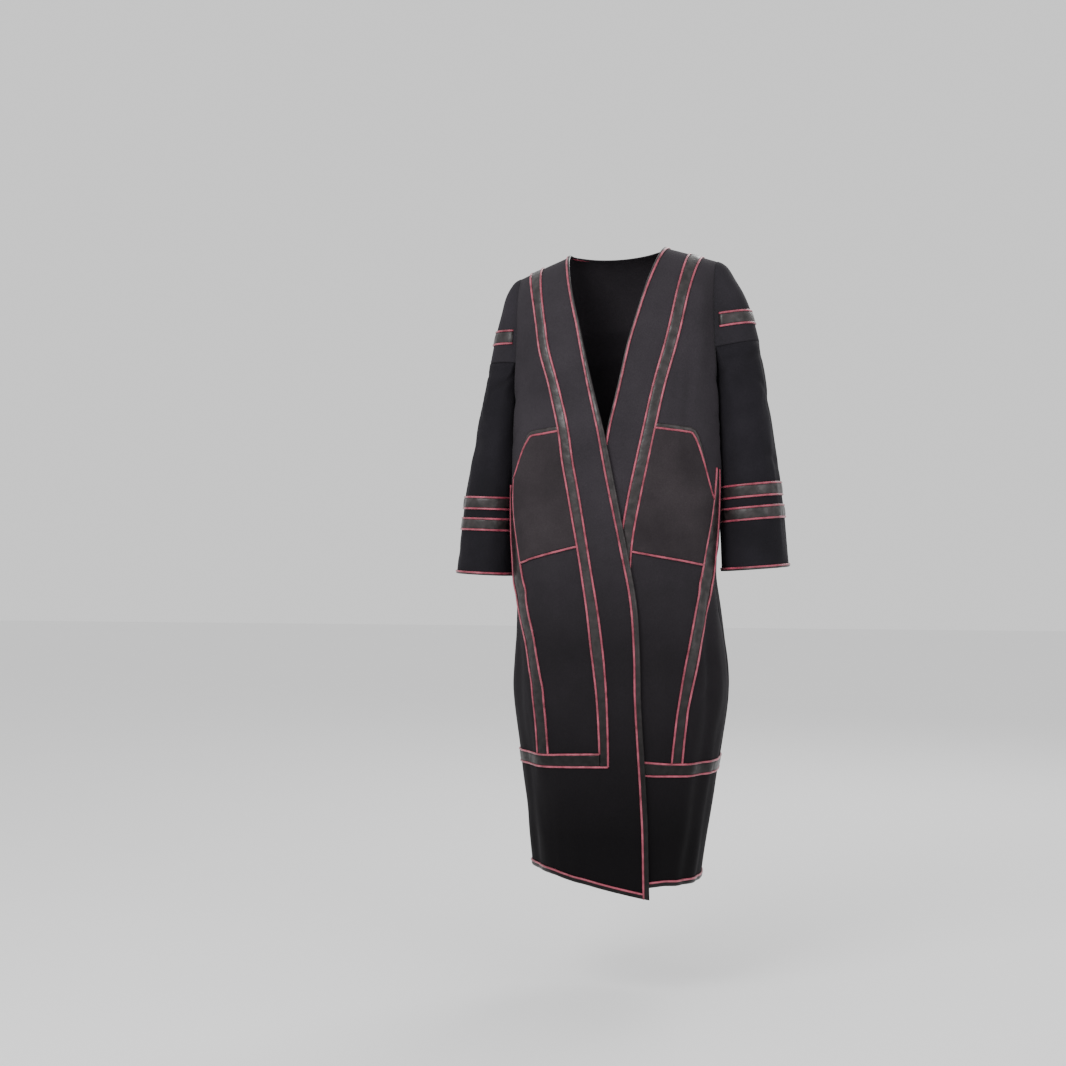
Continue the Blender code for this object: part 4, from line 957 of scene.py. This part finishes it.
def make_camera():
    """The camera at the photo's place: level, a little to the wearer's left."""
    back = Vector((math.sin(CAMERA_TURN), -math.cos(CAMERA_TURN), 0.0))
    right = Vector((math.cos(CAMERA_TURN), math.sin(CAMERA_TURN), 0.0))
    aside = (ROBE_PIXEL - FRAME_PIXELS / 2) * METRES_PER_PIXEL
    camera = new_object("camera", bpy.data.cameras.new("camera"))
    camera.location = back * CAMERA_DISTANCE - right * aside + Vector((0.0, 0.0, CAMERA_HEIGHT))
    camera.rotation_mode = "QUATERNION"
    camera.rotation_quaternion = (-back).to_track_quat("-Z", "Y")
    camera.data.sensor_width = SENSOR
    camera.data.lens = SENSOR * CAMERA_DISTANCE / (FRAME_PIXELS * METRES_PER_PIXEL)
    camera.data.clip_end = CAMERA_REACH
    bpy.context.scene.camera = camera


def add_light(name, place, target, size, power):
    """A soft square lamp turned to a target."""
    data = bpy.data.lights.new(name, "AREA")
    data.shape = "SQUARE"
    data.size = size
    data.energy = power
    lamp = new_object(name, data)
    lamp.location = place
    lamp.rotation_mode = "QUATERNION"
    lamp.rotation_quaternion = (Vector(target) - Vector(place)).to_track_quat("-Z", "Y")


def make_stage():
    """A pale floor, a pale surround and soft lamps."""
    mesh = bpy.data.meshes.new("floor")
    corners = [(x * FLOOR_HALF, y * FLOOR_HALF, FLOOR)
               for x, y in ((-1, -1), (1, -1), (1, 1), (-1, 1))]
    mesh.from_pydata(corners, [], [(0, 1, 2, 3)])
    mesh.materials.append(plain_material("floor", 3.0, 0.2, 0.8, (0.89, 0.89, 0.895),
                                         (0.90, 0.90, 0.90), 0.9))
    floor = new_object("floor", mesh)
    world = bpy.data.worlds.new("surround")
    world.use_nodes = True
    background = world.node_tree.nodes["Background"]
    background.inputs["Color"].default_value = (1.0, 1.0, 1.0, 1.0)
    background.inputs["Strength"].default_value = 1.0
    bpy.context.scene.world = world
    for lamp in LAMPS:
        add_light(*lamp)


def declare_sheet(surface, mask=None):
    """Work out the areas of a grid's cells, and a mask of them all where none is given; nothing is
    kept or returned.
    """
    points = surface.points
    a, b, c, d = points[:-1, :-1], points[:-1, 1:], points[1:, 1:], points[1:, :-1]
    halves = np.cross(d - a, b - a), np.cross(d - c, b - c)
    cells = sum(np.linalg.norm(half, axis=-1) for half in halves) / 2
    if mask is None:
        mask = np.ones(cells.shape, bool)


make_camera()
make_stage()
# One cloth in four copies that differ in painted light: a lighter, lit copy on the pockets, darker,
# shaded copies on the caps and the sleeves, and painted shade towards the hem on the body's copy
BODY_CLOTH = cloth_material("body_cloth", (0.034, 0.030, 0.035), (0.047, 0.041, 0.048), True)
LIT_POCKET_CLOTH = cloth_material("lit_pocket_cloth", (0.030, 0.025, 0.028), (0.050, 0.042, 0.046))
SHADED_SLEEVE_CLOTH = cloth_material("shaded_sleeve_cloth", (0.013, 0.012, 0.015), (0.022, 0.020, 0.025))
SHADED_CAP_CLOTH = cloth_material("shaded_cap_cloth", (0.024, 0.022, 0.026), (0.036, 0.032, 0.039))
SATIN = satin_material()
PIPING = piping_material()
THREAD = plain_material("thread", 300.0, 0.3, 0.7, (0.020, 0.019, 0.021), (0.050, 0.048, 0.052),
                        0.55)
body = make_body_surfaces()
stitches = Stitches()


def cover(name, surface, material, mask=None, closed=False, lift=0.0):
    """A cloth shell that stands for the solid of the same name."""
    piece = shell("cloth_" + name, surface.raised(lift), CLOTH, material, name, mask,
                  closed)
    declare_sheet(surface.ringed() if closed else surface, mask)


def tape(name, surface, seed, closed=False):
    """A stitched satin ribbon for the solid of the same name, bellied and finely crinkled."""
    whole = surface.ringed() if closed else surface
    long = whole.lengthwise()
    count, width = long.points.shape[:2]
    across = np.linspace(-1.0, 1.0, width)
    left, right, slow = (smooth_noise(count, size, seed + k)[:, None]
                         for k, size in enumerate(CRINKLE_STEPS))
    pucker = left * (1 - across) / 2 + right * (1 + across) / 2 + CRINKLE_SWELL * slow
    belly = 1.0 - np.abs(across) ** 4
    height = RIBBON_REST + belly * (RIBBON_BELLY + CRINKLE * (1.0 + CRINKLE_SPREAD * pucker))
    lifted = long.raised(height[..., None])
    piece = shell("satin_" + name, lifted if long is whole else lifted.turned(), RIBBON, SATIN,
                  name)
    stitches.edges(long)
    declare_sheet(surface)


def make_panels():
    """The fronts and the back."""
    arm, top = ROW["underarm"], ROW["ridge"]
    for name in ("right", "left"):
        mask = np.ones((top, COLUMN["seam"]), bool)
        mask[arm:, COLUMN["side_outer"]:] = False
        cover("front_" + name, body[name], BODY_CLOTH, mask)
    mask = np.ones((top, body["back"].points.shape[1] - 1), bool)
    mask[arm:, :BACK_FOLD[0]] = False
    mask[arm:, BACK_FOLD[1]:] = False
    cover("back", body["back"], BODY_CLOTH, mask)


def around(low, high, start):
    """The surface round the robe between two lines, from a column of one front over the back."""
    rows, columns = (ROW[low], ROW[high]), (COLUMN[start], COLUMN["seam"] - 1)
    right, left = (body[name].part(rows, columns) for name in ("right", "left"))
    back = body["back"].part(rows, (0, body["back"].points.shape[1] - 1))
    return right.joined(back, left.flipped())


def make_round_trim():
    """The hem band, the hem's binding and the binding of the edges and the neck."""
    for label, level, start in (("hem_band_top", "band_top", "band_outer"),
                                ("hem_band_bottom", "band_bottom", "band_inner"),
                                ("hem", "hem_piping", "piping")):
        piping(label + "_piping", *around(level, level, start).row(0))
    tape("hem_band", around("band_bottom", "band_top", "band_outer"), SEEDS["hem_band"])
    tape("hem_binding", around("hem", "hem_piping", "piping"), SEEDS["hem_binding"])

    place = (0, ROW["ridge"] - 1), (COLUMN["edge"], COLUMN["piping"])
    right, left = (body[name].part(*place).turned() for name in ("right", "left"))
    edge = right.joined(neck_surface(body), left.flipped())
    edge.normals = unit(edge.normals)
    tape("edge_binding", edge, SEEDS["edge"])
    piping("edge_piping", *edge.row(-1))


def make_front_trim(name):
    """The bands, the pocket and their piping on one front."""
    surface = body[name]
    bottom, band_top, top = ROW["band_bottom"], ROW["band_top"], ROW["ridge"]
    side_top = ROW["pocket_top"] + LEAF_ROWS[name]
    seed = SEEDS[name]
    for label, low, high in (("band_inner", bottom, top), ("band_outer", band_top, top),
                             ("side_inner", band_top, side_top),
                             ("side_outer", band_top, side_top)):
        title = label.replace("band_", "front_band_").replace("side_", "side_band_")
        line = surface.part((low, high), (COLUMN[label],) * 2).turned()
        piping(title + "_piping_" + name, *line.row(0))
    tape("front_band_" + name,
         surface.part((bottom, top), (COLUMN["band_inner"], COLUMN["band_outer"])), seed)
    tape("side_band_" + name,
         surface.part((band_top, side_top), (COLUMN["side_inner"], COLUMN["side_outer"])),
         seed + SEED_STEP)

    across = (COLUMN["band_outer"], COLUMN["side_inner"])
    for label in ("pocket_top", "pocket_bottom"):
        piping(label + "_piping_" + name, *surface.part((ROW[label],) * 2, across).row(0),
               rest=POCKET_PIPING_REST)
    cover("pocket_" + name, surface.part((ROW["pocket_bottom"], ROW["pocket_top"]), across),
          LIT_POCKET_CLOTH, lift=POCKET_REST + CLOTH)

    line = surface.part((ROW["pocket_top"],) * 2, across)
    above = surface.part((ROW["pocket_top"] + ABOVE_ROWS,) * 2, across)
    count = line.points.shape[1]
    upward = unit(above.points[0] - line.points[0])
    square = unit(np.cross(line.normals[0], np.gradient(line.points[0], axis=0)))
    square *= np.sign((square * upward).sum(axis=-1))[:, None]
    place = np.arange(count)
    weight = smoothstep(0, BINDING_TURN, np.minimum(place, place[::-1]))[:, None]
    toward = unit(upward * (1 - weight) + square * weight)
    taper = BINDING_TAPER * smoothstep(TAPER_FROM, 1.0, place / (count - 1))
    width = (POCKET_BINDING * (1.0 - taper))[None, :, None]
    points = line.points + toward * width * np.linspace(0.0, 1.0, BINDING_COLUMNS)[:, None, None]
    normals = np.repeat(line.normals, BINDING_COLUMNS, axis=0)
    tape("pocket_binding_" + name, Surface(points, normals), seed + 2 * SEED_STEP)


def make_arm(side):
    """A cap and a sleeve with their bands, cuff and piping."""
    name = "right" if side < 0 else "left"
    cap = cap_surface(body, side)
    cover("shoulder_cap_" + name, cap, SHADED_CAP_CLOTH)
    low = ROW["underarm"]
    start, end = ROW["cap_band_bottom"] - low, ROW["yoke"] - low
    band = cap.part((start, end), (1, ARC_STEPS - 1))
    tape("cap_band_" + name, band, SEEDS["cap_band"] + side)
    for label, row in (("bottom", 0), ("top", -1)):
        piping("cap_band_" + label + "_piping_" + name, *band.row(row))

    sleeve, level = sleeve_surface(side, cap.points[0] - (0.0, 0.0, SEAM_GAP))
    cover("sleeve_" + name, sleeve, SHADED_SLEEVE_CLOTH, closed=True)
    for label in ("lower_bottom", "lower_top", "upper_bottom", "upper_top", "cuff_piping"):
        title = "cuff_piping_" if label == "cuff_piping" else "sleeve_" + label + "_piping_"
        piping(title + name, *sleeve.row(level[label]), closed=True)
    last = 2 * ARC_STEPS - 1
    start = 3 * ARC_STEPS // 2
    rows = (0, level["seam"])
    sleeve = sleeve.part(rows, (start, last)).joined(sleeve.part(rows, (0, start - 1)))
    for label in ("lower", "upper"):
        rows = (level[label + "_bottom"], level[label + "_top"])
        tape("sleeve_band_" + label + "_" + name, sleeve.part(rows, (0, last)),
             SEEDS[label] + side, True)
    tape("cuff_binding_" + name, sleeve.part((level["cuff"], level["cuff_piping"]), (0, last)),
         SEEDS["cuff"] + side, True)


make_panels()
make_round_trim()
for front in ("left", "right"):
    make_front_trim(front)
for arm_side in (-1, 1):
    make_arm(arm_side)
mesh_piece("stitches", stitches.points, stitches.faces, THREAD)
